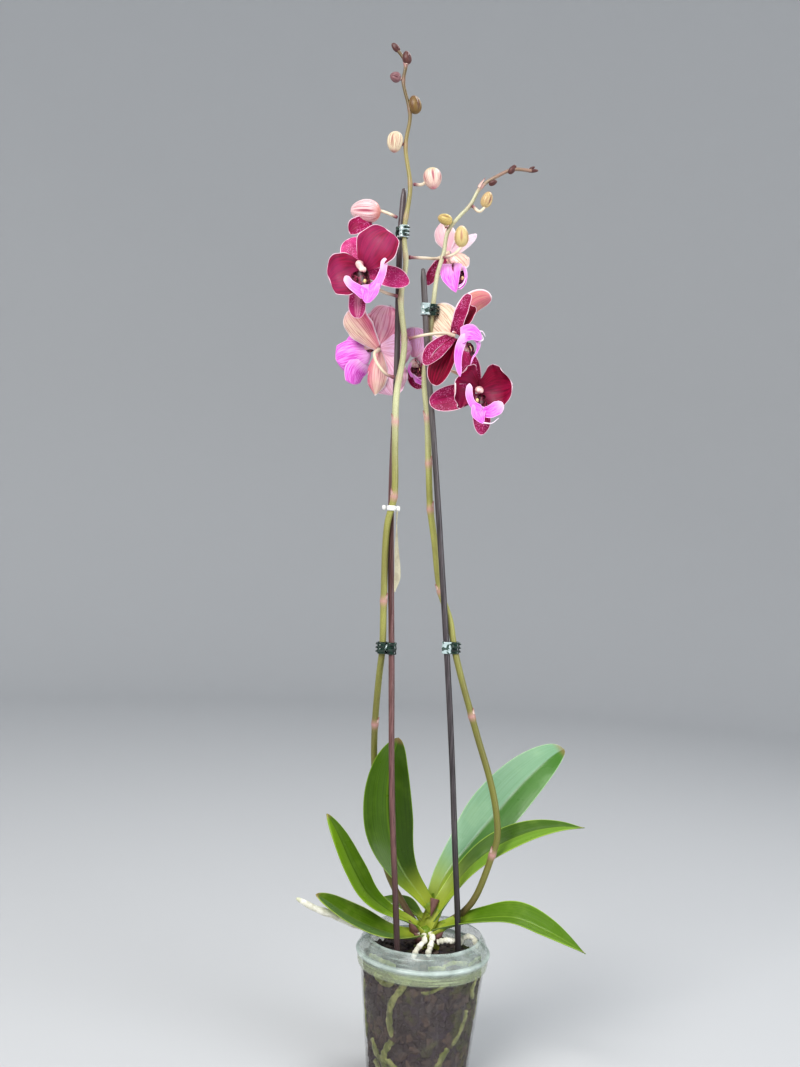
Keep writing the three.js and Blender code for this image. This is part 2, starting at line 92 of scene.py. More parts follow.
class Finish:
    """A node material being written: each method adds a node and returns its output."""

    def __init__(self, name, **constants):
        self.material = bpy.data.materials.new(name)
        self.material.use_nodes = True
        self.tree = self.material.node_tree
        self.shader = self.tree.nodes["Principled BSDF"]
        for socket, value in constants.items():
            self.shader.inputs[socket.replace("_", " ")].default_value = value
        self.place = self.node("ShaderNodeTexCoord").outputs["Object"]

    def node(self, kind, inputs=(), **settings):
        return add_node(self.tree, kind, inputs, **settings)

    def math(self, operation, a, b=0.0, clamp=False):
        return self.node("ShaderNodeMath", {0: a, 1: b}, operation=operation, use_clamp=clamp).outputs[0]

    def times(self, a, b, clamp=False):
        return self.math("MULTIPLY", a, b, clamp)

    def plus(self, a, b, clamp=False):
        return self.math("ADD", a, b, clamp)

    def size(self, value):
        return self.math("ABSOLUTE", value)

    def mix(self, share, a, b, blend="MIX"):
        inputs = {"Factor": share, 6: a, 7: b}
        return self.node("ShaderNodeMix", inputs, data_type="RGBA", blend_type=blend).outputs[2]

    def stretched(self, scale):
        return self.node("ShaderNodeMapping", {"Vector": self.place, "Scale": scale}).outputs[0]

    def noise(self, scale, detail=3.0, roughness=0.55, source=None, distortion=0.0):
        inputs = {"Vector": source or self.place, "Scale": scale, "Detail": detail}
        inputs |= {"Roughness": roughness, "Distortion": distortion}
        return self.node("ShaderNodeTexNoise", inputs).outputs["Fac"]

    def cells(self, scale):
        return self.node("ShaderNodeTexVoronoi", {"Vector": self.place, "Scale": scale}).outputs["Distance"]

    def between(self, value, low, high, start=0.0, end=1.0):
        inputs = {"Value": value, "From Min": low, "From Max": high, "To Min": start, "To Max": end}
        return self.node("ShaderNodeMapRange", inputs, interpolation_type="SMOOTHSTEP").outputs[0]

    def attribute(self, name):
        return self.node("ShaderNodeAttribute", attribute_name=name).outputs["Fac"]

    def axis(self, name):
        return self.node("ShaderNodeSeparateXYZ", {0: self.place}).outputs[name]

    def bump(self, height, strength, distance):
        inputs = {"Height": height, "Strength": strength, "Distance": distance}
        self.use("Normal", self.node("ShaderNodeBump", inputs).outputs[0])

    def use(self, socket, value):
        connect(self.tree, self.shader.inputs[socket], value)
        return self


def rgb(red, green, blue):
    return (red, green, blue, 1.0)


def smoothstep(x, low=0.0, high=1.0):
    x = np.clip((x - low) / (high - low), 0, 1)
    return x * x * (3 - 2 * x)


def add_piece(name, verts, faces, materials, nodes, attributes=None, face_materials=None):
    """Makes a mesh piece in place, with its materials and point attributes, and ties it to the frame."""
    mesh = bpy.data.meshes.new(name)
    mesh.from_pydata([tuple(v) for v in verts], [], [tuple(f) for f in faces])
    for key, values in (attributes or {}).items():
        layer = mesh.attributes.new(key, "FLOAT", "POINT")
        layer.data.foreach_set("value", np.asarray(values, np.float32).ravel())
    for material in materials:
        mesh.materials.append(material)
    if face_materials is not None:
        mesh.polygons.foreach_set("material_index", face_materials)
    mesh.polygons.foreach_set("use_smooth", [True] * len(mesh.polygons))
    mesh.validate()
    return tie(add_object(name, mesh), nodes)


def tie(piece, nodes):
    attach(piece, "root")
    if nodes:
        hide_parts(*nodes)
    return piece


def grid_faces(rows, columns, start=0, wrap=False, flip=False):
    """Quads of a grid of points numbered row by row, wrapped round into a tube if asked."""
    faces = []
    for row in range(rows - 1):
        for column in range(columns if wrap else columns - 1):
            after = (column + 1) % columns
            quad = [row * columns + column, row * columns + after]
            quad += [(row + 1) * columns + after, (row + 1) * columns + column]
            faces.append([start + i for i in (reversed(quad) if flip else quad)])
    return faces


def turned(profile, sides):
    """Rings of points round the upright axis, one for each radius and height of a profile."""
    angles = np.arange(sides) * 2 * math.pi / sides
    return [(r * math.cos(a), r * math.sin(a), z) for r, z in profile for a in angles]


BEAD_Z = 0.112
BEAD_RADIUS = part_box("nursery_pot")[1].x
COLLAR_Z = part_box("nursery_pot")[1].z
COLLAR_RADIUS = 0.0515
POT_BOTTOM = 0.045
POT_SHOULDER = 0.0555
SKIRT_Z = 0.1
SKIRT_RADIUS = 0.0574
WALL = 0.0009
BEAD_THICKNESS = 0.0017
DRAINS = 8
DRAIN_RING = 0.030
DRAIN_HALF_LENGTH = 0.0035
FLOOR_HUB = 0.012
POT_SIDES = 128


def pot_outline():
    """Radius and height up the outside of the pot, from its bottom edge to the collar's lip."""
    points = [(POT_BOTTOM - 0.003, 0.0), (POT_BOTTOM - 0.0012, 0.0003), (POT_BOTTOM, 0.0022)]
    body_rise = SKIRT_Z - 0.0022
    for z in np.linspace(0.008, SKIRT_Z - 0.003, 24):
        slope = (z - 0.0022) / body_rise
        ring = 0.0004 * math.exp(-(((z - 0.0285) / 0.0008) ** 2))
        points.append((POT_BOTTOM + (POT_SHOULDER - POT_BOTTOM) * slope + ring, z))
    points += [(POT_SHOULDER, SKIRT_Z - 0.0012), (POT_SHOULDER + 0.0006, SKIRT_Z - 0.0003)]
    points += [(SKIRT_RADIUS - 0.0004, SKIRT_Z + 0.0001), (SKIRT_RADIUS + 0.0003, SKIRT_Z + 0.0008)]
    for z in np.linspace(SKIRT_Z + 0.0016, BEAD_Z - 0.0022, 22):
        ridge = 0.00035 * max(math.cos(2 * math.pi * (z - SKIRT_Z) / 0.0031), 0) ** 2
        points.append((SKIRT_RADIUS + 0.0002 + 0.08 * (z - SKIRT_Z) + ridge, z))
    for angle in np.radians(np.linspace(-80, 100, 12)):
        out, up = BEAD_THICKNESS * math.cos(angle), BEAD_THICKNESS * math.sin(angle)
        points.append((BEAD_RADIUS - BEAD_THICKNESS + out, BEAD_Z + up))
    top = np.array([points[-1], (COLLAR_RADIUS + 0.0002, COLLAR_Z - 0.0007)])
    for share in np.linspace(0.08, 0.94, 14):
        bulge = 0.0009 * math.sin(math.pi * share)
        points.append(tuple(top[0] + (top[1] - top[0]) * share + (bulge, bulge)))
    points.append(tuple(top[1]))
    return np.array(points)


def collar_wave(angle, height):
    """The soft collar is a little out of round and its lip is wavy."""
    amount = smoothstep(height, BEAD_Z, COLLAR_Z)
    sway = 0.0006 * math.sin(3 * angle + 0.6) + 0.0004 * math.sin(7 * angle)
    dip = -0.0011 * smoothstep(math.cos(angle + 2.0), 0.35, 0.75) - 0.0005 * (1 + math.sin(5 * angle))
    return amount * sway, amount * dip


def build_pot():
    outline = pot_outline()
    inward = outline[::-1] - (WALL, 0)
    inner = inward[inward[:, 1] > WALL]
    ring = np.vstack([outline, [(COLLAR_RADIUS - WALL / 2, COLLAR_Z)], inner])
    ring = np.vstack([ring, [(POT_BOTTOM - 0.004, WALL)]])
    verts = []
    for radius, z in ring:
        for angle in np.arange(POT_SIDES) * 2 * math.pi / POT_SIDES:
            sway, dip = collar_wave(angle, z)
            reach = radius + sway
            verts.append((reach * math.cos(angle), reach * math.sin(angle), z + dip))
    faces = grid_faces(len(ring), POT_SIDES, wrap=True)
    floor_verts, floor_faces = pot_floor(len(verts), (len(ring) - 1) * POT_SIDES)
    return verts + floor_verts, faces + floor_faces


def pot_floor(start, last):
    """Closes the bottom with two discs joined through a ring of drain holes."""
    around = POT_SIDES // DRAINS
    open_steps = (around // 2 - 1, around // 2)
    rings = [DRAIN_RING + reach for reach in (0.006, DRAIN_HALF_LENGTH, -DRAIN_HALF_LENGTH, -0.006)]
    verts, faces = [], []

    def add(face, flip):
        faces.append(face[::-1] if flip else face)

    def disc(z, outer, flip):
        base = start + len(verts)
        verts.extend(turned([(radius, z) for radius in rings + [FLOOR_HUB]], POT_SIDES))
        verts.append((0, 0, z))
        centre = start + len(verts) - 1
        loops = [outer] + [base + k * POT_SIDES for k in range(len(rings) + 1)]
        for level, (a, b) in enumerate(zip(loops, loops[1:])):
            for step in range(POT_SIDES):
                if level == 2 and step % around in open_steps:
                    continue
                after = (step + 1) % POT_SIDES
                add([a + step, a + after, b + after, b + step], flip)
        for step in range(POT_SIDES):
            add([loops[-1] + step, loops[-1] + (step + 1) % POT_SIDES, centre], flip)
        return loops

    inner = disc(WALL, last, False)
    outer = disc(0.0, 0, True)
    for drain in range(DRAINS):
        for step in open_steps:
            a = drain * around + step
            for level, flip in ((2, True), (3, False)):
                add([inner[level] + a, inner[level] + a + 1, outer[level] + a + 1, outer[level] + a], flip)
        first = drain * around + open_steps[0]
        for edge, flip in ((first, False), (first + 2, True)):
            add([inner[2] + edge, inner[3] + edge, outer[3] + edge, outer[2] + edge], flip)
    return verts, faces


def pot_plastic():
    clear = Finish("clear pot plastic", Roughness=0.28, IOR=1.49, Coat_Weight=0.35, Coat_Roughness=0.2)
    height = clear.axis("Z")
    haze = clear.noise(60, 4)
    collar = clear.between(height, SKIRT_Z - 0.002, SKIRT_Z + 0.002)
    bead = clear.size(clear.math("SUBTRACT", height, BEAD_Z))
    bead = clear.between(bead, 0.0026, 0.0012)
    smear = clear.between(clear.noise(35, 3, distortion=1.2), 0.5, 0.68)
    opacity = clear.between(haze, 0.35, 0.75, 0.12, 0.24)
    shoulder = clear.between(height, BEAD_Z + 0.001, BEAD_Z + 0.003, 0.2, 0.06)
    opacity = clear.plus(opacity, clear.times(collar, shoulder))
    flat = clear.stretched((1, 1, 0))
    reach = clear.node("ShaderNodeVectorMath", {0: flat}, operation="LENGTH").outputs["Value"]
    lip = clear.times(collar, clear.between(reach, COLLAR_RADIUS + 0.0012, COLLAR_RADIUS + 0.0002))
    opacity = clear.plus(opacity, clear.times(lip, 0.2))
    opacity = clear.plus(opacity, clear.times(bead, 0.32))
    opacity = clear.plus(opacity, clear.times(smear, 0.06), clamp=True)
    band = clear.noise(70, 3, source=clear.stretched((0.35, 0.35, 9)))
    scuff = clear.times(clear.between(band, 0.56, 0.68), collar)
    opacity = clear.plus(opacity, clear.times(scuff, 0.22), clamp=True)
    scratch = clear.noise(260, 2, source=clear.stretched((1, 1, 0.06)))
    scratch = clear.between(scratch, 0.58, 0.7, 0.0, 0.18)
    scratch = clear.times(scratch, clear.between(height, SKIRT_Z, SKIRT_Z - 0.004))
    clear.use("Alpha", clear.plus(opacity, scratch, clamp=True))
    tint = clear.mix(clear.between(haze, 0.3, 0.7), rgb(0.47, 0.56, 0.51), rgb(0.66, 0.75, 0.71))
    skirt = clear.between(height, BEAD_Z, SKIRT_Z + 0.006)
    tint = clear.mix(clear.times(skirt, collar), tint, rgb(0.48, 0.55, 0.36))
    tint = clear.mix(collar, rgb(0.17, 0.152, 0.145), tint)
    clear.use("Base Color", tint)
    clear.use("Roughness", clear.between(haze, 0.3, 0.7, 0.2, 0.38))
    clear.bump(clear.noise(45, 3), 0.25, 0.0006)
    return clear.material


pot_verts, pot_faces = build_pot()
pot = add_piece("pot", pot_verts, pot_faces, [pot_plastic()], ["nursery_pot"])


def inside_radius(z):
    """Radius of the room inside the pot's body at a height."""
    share = min(max(z / SKIRT_Z, 0), 1)
    return POT_BOTTOM + (POT_SHOULDER - POT_BOTTOM) * share - 0.0012


# ---- bark mix ----
# Damp chips of pine bark fill the pot up to its bead and are heaped a little at the crown.
# Chips are scattered over a plain core, and those at the wall are pressed flat against it.
BARK_TOP = 0.1095
BARK_HEAP = 0.009
CHIP_SIZE = 0.0075
SMALLEST_CHIP, LARGEST_CHIP = 0.55, 1.3
CHIPS_PER_SQUARE_METRE = 42000.0


def caps(sides, last_ring, low, high):
    """Fans that close the first and last rings of a tube onto one point each."""
    faces = []
    for side in range(sides):
        after = (side + 1) % sides
        faces.append([after, side, low])
        faces.append([last_ring + side, last_ring + after, high])
    return faces


def bark_core():
    sides, floor, peak = 48, 0.003, BARK_TOP - 0.004 + BARK_HEAP
    profile = [(inside_radius(0) - 0.004, floor)]
    profile += [(inside_radius(z) - 0.003, z) for z in np.linspace(0.008, BARK_TOP - 0.005, 14)]
    profile += [(r, peak - BARK_HEAP * r / 0.05) for r in (0.046, 0.034, 0.02)]
    verts = turned(profile, sides)
    faces = grid_faces(len(profile), sides, wrap=True)
    faces += caps(sides, (len(profile) - 1) * sides, len(verts), len(verts) + 1)
    return verts + [(0, 0, floor), (0, 0, peak)], faces


def bark_material():
    bark = Finish("bark chips", Roughness=0.85)
    shade = bark.attribute("chip_shade")
    grain = bark.noise(900, 4, source=bark.stretched((1, 1, 0.35)))
    dark = bark.mix(grain, rgb(0.016, 0.011, 0.013), rgb(0.08, 0.056, 0.058))
    light = bark.mix(grain, rgb(0.05, 0.034, 0.03), rgb(0.2, 0.135, 0.105))
    colour = bark.mix(bark.between(shade, 0.62, 1.0), dark, light)
    purple = bark.mix(bark.between(shade, 0.35, 0.1), colour, rgb(0.062, 0.042, 0.06))
    side = bark.between(bark.axis("X"), 0.015, 0.045, 0.0, 0.15)
    moss = bark.between(bark.plus(bark.noise(70, 2), side), 0.56, 0.72, 0.0, 0.6)
    bark.use("Base Color", bark.mix(moss, purple, rgb(0.11, 0.13, 0.02)))
    bark.use("Roughness", bark.between(grain, 0.3, 0.8, 0.6, 0.95))
    bark.bump(bark.noise(500, 5), 0.6, 0.0008)
    return bark.material


def chip_shape():
    """One chip: a flat, split flake with blunt corners."""
    shape = bmesh.new()
    bmesh.ops.create_cube(shape, size=1.0)
    for vert in shape.verts:
        x, y, z = vert.co
        vert.co = Vector((x * (1.0 + 0.25 * y), y * (0.7 - 0.2 * z), z * (0.34 + 0.1 * x)))
    bmesh.ops.bevel(shape, geom=list(shape.edges), offset=0.07, segments=1, affect="EDGES")
    mesh = bpy.data.meshes.new("bark chip")
    shape.to_mesh(mesh)
    shape.free()
    return add_object("bark chip", mesh)


def scatter_tree(chip, material):
    """Geometry Nodes: chips strewn over a surface at random turns and sizes."""
    tree = bpy.data.node_groups.new("scatter chips", "GeometryNodeTree")
    tree.interface.new_socket("Geometry", in_out="INPUT", socket_type="NodeSocketGeometry")
    tree.interface.new_socket("Density", in_out="INPUT", socket_type="NodeSocketFloat")
    tree.interface.new_socket("Chip size", in_out="INPUT", socket_type="NodeSocketFloat")
    tree.interface.new_socket("Seed", in_out="INPUT", socket_type="NodeSocketInt")
    tree.interface.new_socket("Geometry", in_out="OUTPUT", socket_type="NodeSocketGeometry")

    def node(kind, inputs=(), **settings):
        return add_node(tree, kind, inputs, **settings)

    given = node("NodeGroupInput").outputs
    points = {"Mesh": given["Geometry"], "Density": given["Density"], "Seed": given["Seed"]}
    strew = node("GeometryNodeDistributePointsOnFaces", points).outputs
    model = node("GeometryNodeObjectInfo", {"Object": chip}).outputs
    ends = {0: (-0.5, -0.5, -math.pi), 1: (0.5, 0.5, math.pi)}
    turn = node("FunctionNodeRandomValue", ends, data_type="FLOAT_VECTOR").outputs
    lean = {"Rotation": strew["Rotation"], "Rotate By": turn[0]}
    lean = node("FunctionNodeRotateRotation", lean, rotation_space="LOCAL").outputs
    size = node("FunctionNodeRandomValue", {2: SMALLEST_CHIP, 3: LARGEST_CHIP}).outputs
    scaled = node("ShaderNodeMath", {0: size[1], 1: given["Chip size"]}, operation="MULTIPLY").outputs
    copies = {"Points": strew["Points"], "Instance": model["Geometry"]}
    copies |= {"Rotation": lean["Rotation"], "Scale": scaled[0]}
    place = node("GeometryNodeInstanceOnPoints", copies).outputs
    shade = node("FunctionNodeRandomValue").outputs
    named = {"Geometry": place[0], "Value": shade[1], "Name": "chip_shade"}
    store = node("GeometryNodeStoreNamedAttribute", named, domain="INSTANCE").outputs
    real = node("GeometryNodeRealizeInstances", {0: store["Geometry"]}).outputs
    paint = node("GeometryNodeSetMaterial", {"Geometry": real[0], "Material": material}).outputs
    node("NodeGroupOutput", {0: paint[0]})
    return tree


def grown(name, source, tree, **inputs):
    """Runs a Geometry Nodes tree on an object and returns the result as a plain mesh."""
    modifier = source.modifiers.new("grow", "NODES")
    modifier.node_group = tree
    for item in tree.interface.items_tree:
        if item.in_out == "INPUT" and item.name in inputs:
            modifier[item.identifier] = inputs[item.name]
    bpy.context.view_layer.update()
    evaluated = source.evaluated_get(bpy.context.evaluated_depsgraph_get())
    mesh = bpy.data.meshes.new_from_object(evaluated)
    source.modifiers.remove(modifier)
    mesh.name = name
    return mesh


def press_into_pot(mesh):
    """Chips that would pass the pot's wall are pressed flat against it."""
    for vert in mesh.vertices:
        reach = math.hypot(vert.co.x, vert.co.y)
        room = inside_radius(vert.co.z) - 0.0011
        if reach > room:
            vert.co.x *= room / reach
            vert.co.y *= room / reach
        vert.co.z = max(vert.co.z, 0.0018)


bark_finish = bark_material()
core_verts, core_faces = bark_core()
core = add_piece("bark_core", core_verts, core_faces, [bark_finish], ["bark_mix"])
chip = chip_shape()
chips_mesh = grown("bark_chips", core, scatter_tree(chip, bark_finish),
                   **{"Density": CHIPS_PER_SQUARE_METRE, "Chip size": CHIP_SIZE, "Seed": 4})
bpy.data.objects.remove(chip)
press_into_pot(chips_mesh)
tie(add_object("bark_chips", chips_mesh), [])


# ---- stakes ----
# Two thin wooden flower stakes, one stained reddish brown and one purple-grey. They stand
# in the bark behind the collar's front and lean with the spikes that they hold up.
MM = 0.001
STAKE_LEFT = [
    (-17, -35, 8), (-23.5, -32, 121), (-34.7, -22, 251), (-42, -11, 380),
    (-49.2, -8, 510), (-50.6, -7.5, 633), (-53.5, -5, 740), (-52.3, -4, 790),
]
STAKE_RIGHT = [
    (33, -19, 8), (29.9, -18, 126), (23.2, -15, 207), (16.6, -12, 285), (6.7, -9, 384),
    (-6.7, -6, 504), (-13.9, -4, 566), (-22.9, -4, 636), (-31.6, -3, 720),
]
STAKE_RADIUS = 2.65 * MM


def curve_through(points, count, spacing=None):
    """Points on one smooth curve through the given ones (a centripetal Catmull-Rom spline)."""
    knots = np.asarray(points, float)
    knots = np.vstack([2 * knots[0] - knots[1], knots, 2 * knots[-1] - knots[-2]])
    dense = []
    for a, b, c, d in zip(knots, knots[1:], knots[2:], knots[3:]):
        gaps = [max(np.linalg.norm(q - p), 1e-9) ** 0.5 for p, q in ((a, b), (b, c), (c, d))]
        t0, t1 = 0.0, gaps[0]
        t2, t3 = t1 + gaps[1], t1 + gaps[1] + gaps[2]
        t = np.linspace(t1, t2, 24, endpoint=False)[:, None]
        ab = ((t1 - t) * a + (t - t0) * b) / (t1 - t0)
        bc = ((t2 - t) * b + (t - t1) * c) / (t2 - t1)
        cd = ((t3 - t) * c + (t - t2) * d) / (t3 - t2)
        abc = ((t2 - t) * ab + (t - t0) * bc) / (t2 - t0)
        bcd = ((t3 - t) * bc + (t - t1) * cd) / (t3 - t1)
        dense.append(((t2 - t) * abc + (t - t1) * bcd) / (t2 - t1))
    dense = np.vstack(dense + [knots[-2:-1]])
    length = np.concatenate([[0], np.cumsum(np.linalg.norm(np.diff(dense, axis=0), axis=1))])
    wanted = (np.linspace(0, 1, count) if spacing is None else spacing) * length[-1]
    return np.stack([np.interp(wanted, length, dense[:, k]) for k in range(3)], axis=1)


def unit(vectors):
    vectors = np.asarray(vectors, float)
    return vectors / np.maximum(np.linalg.norm(vectors, axis=-1, keepdims=True), 1e-12)


def stalk(path, radii, sides=12, normal=None):
    """A closed round stalk along a path: verts, faces, and how far along each vert lies (0 to 1)."""
    tangents = unit(np.gradient(path, axis=0))
    normal = unit(np.cross(tangents[0], (0.3, 1.0, 0.2))) if normal is None else normal
    verts, along = [], []
    angles = np.arange(sides) * 2 * math.pi / sides
    for index, (centre, tangent) in enumerate(zip(path, tangents)):
        normal = unit(normal - tangent * np.dot(normal, tangent))
        across = np.cross(tangent, normal)
        ring = np.outer(np.cos(angles), normal) + np.outer(np.sin(angles), across)
        radius = np.atleast_1d(radii[index])
        verts += list(centre + ring * radius[..., None])
        along += [index / (len(path) - 1)] * sides
    faces = grid_faces(len(path), sides, wrap=True)
    faces += caps(sides, (len(path) - 1) * sides, len(verts), len(verts) + 1)
    verts += [path[0] - tangents[0] * radii[0] * 0.3, path[-1] + tangents[-1] * radii[-1] * 0.5]
    return np.array(verts), faces, along + [0.0, 1.0]


def stake_material(name, stain, pale, foot, top):
    wood = Finish(name, Roughness=0.42, Coat_Weight=0.35, Coat_Roughness=0.22)
    height = wood.axis("Z")
    grain = wood.noise(700, 4, source=wood.stretched((1, 1, 0.03)))
    blotch = wood.noise(28, 3, source=wood.stretched((1, 1, 0.4)))
    colour = wood.mix(wood.between(grain, 0.35, 0.7), stain, pale)
    colour = wood.mix(wood.between(blotch, 0.45, 0.75, 0.0, 0.5), colour, pale)
    colour = wood.mix(wood.between(height, 0.24, 0.13), colour, foot)
    streaky = wood.mix(grain, rgb(0.7, 0.7, 0.7), rgb(1.25, 1.25, 1.25))
    weathered = wood.mix(1.0, streaky, top, "MULTIPLY")
    wood.use("Base Color", wood.mix(wood.between(height, 0.5, 0.62, 0.0, 0.85), colour, weathered))
    wood.use("Roughness", wood.between(grain, 0.3, 0.7, 0.38, 0.6))
    wood.bump(grain, 0.35, 0.0004)
    return wood.material


def add_stake(name, points, material, node):
    rows = 180
    path = curve_through(np.array(points) * MM, rows)
    t = np.linspace(0, 1, rows)
    radii = STAKE_RADIUS * (1 + 0.035 * np.sin(31 * t) * np.sin(17 * t + 1))
    radii *= 1 - 0.35 * smoothstep(t, 0.988, 1.0)
    verts, faces, along = stalk(path, radii, 16)
    return add_piece(name, verts, faces, [material], [node], {"along": along})


brown_stain = stake_material("reddish brown stake", rgb(0.085, 0.032, 0.03), rgb(0.2, 0.095, 0.09),
                             rgb(0.05, 0.022, 0.022), rgb(0.095, 0.08, 0.088))
grey_stain = stake_material("purple grey stake", rgb(0.028, 0.022, 0.025), rgb(0.09, 0.074, 0.08),
                            rgb(0.018, 0.012, 0.014), rgb(0.13, 0.115, 0.115))
add_stake("stake_brown", STAKE_LEFT, brown_stain, "stake_left")
add_stake("stake_grey", STAKE_RIGHT, grey_stain, "stake_right")


# ---- flower spikes ----
# Two round green stems that zigzag a little from joint to joint. Each joint is a swollen pink
# ring, some with a small papery bract, and the pedicels of the flowers and buds leave from there.
SPIKE_LEFT = [
    (-2, 6, 124), (-17.6, 13, 145), (-34.7, 20, 173), (-46.3, 24, 218), (-52.2, 24, 268),
    (-53.6, 16, 308), (-52, 2, 353), (-50.2, -8, 381), (-51.2, -12, 423), (-51.6, -14, 489),
    (-46.8, -15, 516), (-48.4, -15, 561), (-49.4, -15, 605), (-45.2, -14, 640), (-45, -14, 654),
    (-50, -12.5, 690), (-47.3, -12, 722), (-50.2, -11.5, 750), (-46.9, -10, 790), (-53, -6, 828),
    (-50.4, -5, 856), (-58, -3, 886), (-57, -1, 904), (-66, 0, 917),
]
SPIKE_RIGHT = [
    (4, 4, 126), (21.2, 0, 138), (34.6, -8, 151), (44, -12, 166), (56.3, -13, 203), (60, -13, 218),
    (57.7, -12, 243), (51.2, -9, 269), (39, -7, 304), (32.3, -7, 324), (21.7, -7, 356),
    (13.6, -6, 384), (8.6, -2, 408), (-1.3, 1, 434), (-8.9, 2, 479), (-14, 2, 507),
    (-17.6, 2, 548), (-20.9, 3, 588), (-25.6, 4, 626), (-23, 4, 650), (-21.2, 0, 684),
    (-18.5, 1, 717), (-14, 2, 736), (-11, 1, 756), (-1.1, 0, 770), (7.3, -2, 779),
    (16, -2, 796), (32, -4, 807), (44, -6, 812), (60, -8, 811),
]
# Height of each joint, and the side that its bract stands on (0 where a pedicel leaves).
JOINTS_LEFT = [(308, -1), (423, -1), (516, 1), (582, 1), (620, 0), (655, 0), (690, 0), (728, 0)]
JOINTS_LEFT += [(763, 0), (793, 0), (829, 0), (862, 0), (888, 0), (904, -1)]
JOINTS_RIGHT = [(203, 1), (324, -1), (434, 1), (507, -1), (548, -1), (588, 1), (634, 0)]
JOINTS_RIGHT += [(686, 0), (731, 0), (757, 0), (779, 0), (797, 1)]
SPIKE_WIDE, SPIKE_THIN = 2.9, 1.5


def sheet(path, half_width, face, cup=0.0, vee=0.0, thickness=0.8, rows=26, columns=17, ruffle=0.0,
          waves=2.5, phase=0.0, groove=0.0, skew=0.0, finish=0):
    """A closed thin leaf-like sheet round a midrib: verts, faces and where each vert lies on it.

    face is the direction, or list of directions from base to tip, that the upper side looks;
    cup rolls the sides up to that angle, vee folds them up, and half_width is a function of t.
    """
    share = np.linspace(0, 1, rows)
    t = 0.35 * share + 0.65 * (1 - np.cos(np.pi * share)) / 2
    spine = curve_through(path, rows, t)
    tangent = unit(np.gradient(spine, axis=0))
    looks = np.atleast_2d(np.asarray(face, float))
    steps = np.linspace(0, 1, len(looks))
    looks = np.stack([np.interp(t, steps, looks[:, k]) for k in range(3)], axis=1)
    side = unit(np.cross(tangent, looks))
    up = np.cross(side, tangent)
    u = np.sin(np.linspace(-1, 1, columns) * math.pi / 2)
    half = np.array([half_width(x) for x in t])[:, None] * (1 + skew * u)[None, :]
    angle = np.broadcast_to(np.atleast_1d(cup)[:, None] if np.ndim(cup) else cup, (rows, 1)) + 1e-4
    out = half * np.sin(u * angle) / angle
    lift = np.abs(half) * (1 - np.cos(u * angle)) / angle + vee * half * np.abs(u) ** 1.3
    swing = 2 * math.pi * waves * t[:, None] + phase + 1.9 * (u > 0)[None, :]
    lift = lift + ruffle * np.abs(u) ** 3 * np.sin(swing) * smoothstep(t, 0.15, 0.5)[:, None]
    lift = lift - groove * np.exp(-((u / 0.16) ** 2)) * np.sin(math.pi * t)[:, None]
    middle = spine[:, None] + side[:, None] * out[..., None] + up[:, None] * lift[..., None]
    ends = np.minimum(1, 0.35 + 6 * np.minimum(t, 1 - t))[:, None]
    skin = thickness * (1 - 0.72 * np.abs(u) ** 5)[None, :] * ends / 2
    shift = up[:, None] * skin[..., None]
    verts = np.vstack([(middle + shift).reshape(-1, 3), (middle - shift).reshape(-1, 3)])
    count = rows * columns
    faces = grid_faces(rows, columns) + grid_faces(rows, columns, count, flip=True)
    top, end = columns - 1, (rows - 1) * columns
    for row in range(rows - 1):
        a, b = row * columns, (row + 1) * columns
        faces.append([a, b, b + count, a + count])
        faces.append([a + top, a + top + count, b + top + count, b + top])
    for c in range(columns - 1):
        faces.append([c, c + count, c + 1 + count, c + 1])
        faces.append([end + c, end + c + 1, end + c + 1 + count, end + c + count])
    length = np.linalg.norm(np.diff(spine, axis=0), axis=1).sum()
    margin = np.minimum((1 - np.abs(u))[None, :] * np.abs(half), ((1 - t) * length)[:, None])
    spots = {
        "across": np.tile(np.tile(u, rows), 2),
        "along": np.tile(np.repeat(t, columns), 2),
        "margin": np.tile(margin.ravel(), 2),
        "upper": np.repeat([1.0, 0.0], count),
    }
    return {"verts": verts, "faces": faces, "spots": spots, "finish": finish}


def rimless(verts, faces, along, finish):
    """A part without a rim, given the same attributes as a sheet so that they can be joined."""
    plain = np.zeros(len(verts))
    spots = {"across": plain, "along": plain + along, "margin": plain + 9, "upper": plain + 1}
    return {"verts": np.array(verts), "faces": faces, "spots": spots, "finish": finish}


def stem(path, radii, sides=10, finish=0):
    verts, faces, along = stalk(np.asarray(path, float), radii, sides)
    return rimless(verts, faces, along, finish)


def add_parts(name, parts, materials, nodes):
    """Joins parts measured in millimetres into one piece."""
    verts = np.vstack([part["verts"] for part in parts]) * MM
    faces, finishes, start = [], [], 0
    for part in parts:
        faces += [[start + i for i in face] for face in part["faces"]]
        finishes += [part["finish"]] * len(part["faces"])
        start += len(part["verts"])
    keys = parts[0]["spots"]
    spots = {key: np.concatenate([np.asarray(part["spots"][key], float) for part in parts]) for key in keys}
    return add_piece(name, verts, faces, materials, nodes, spots, finishes)


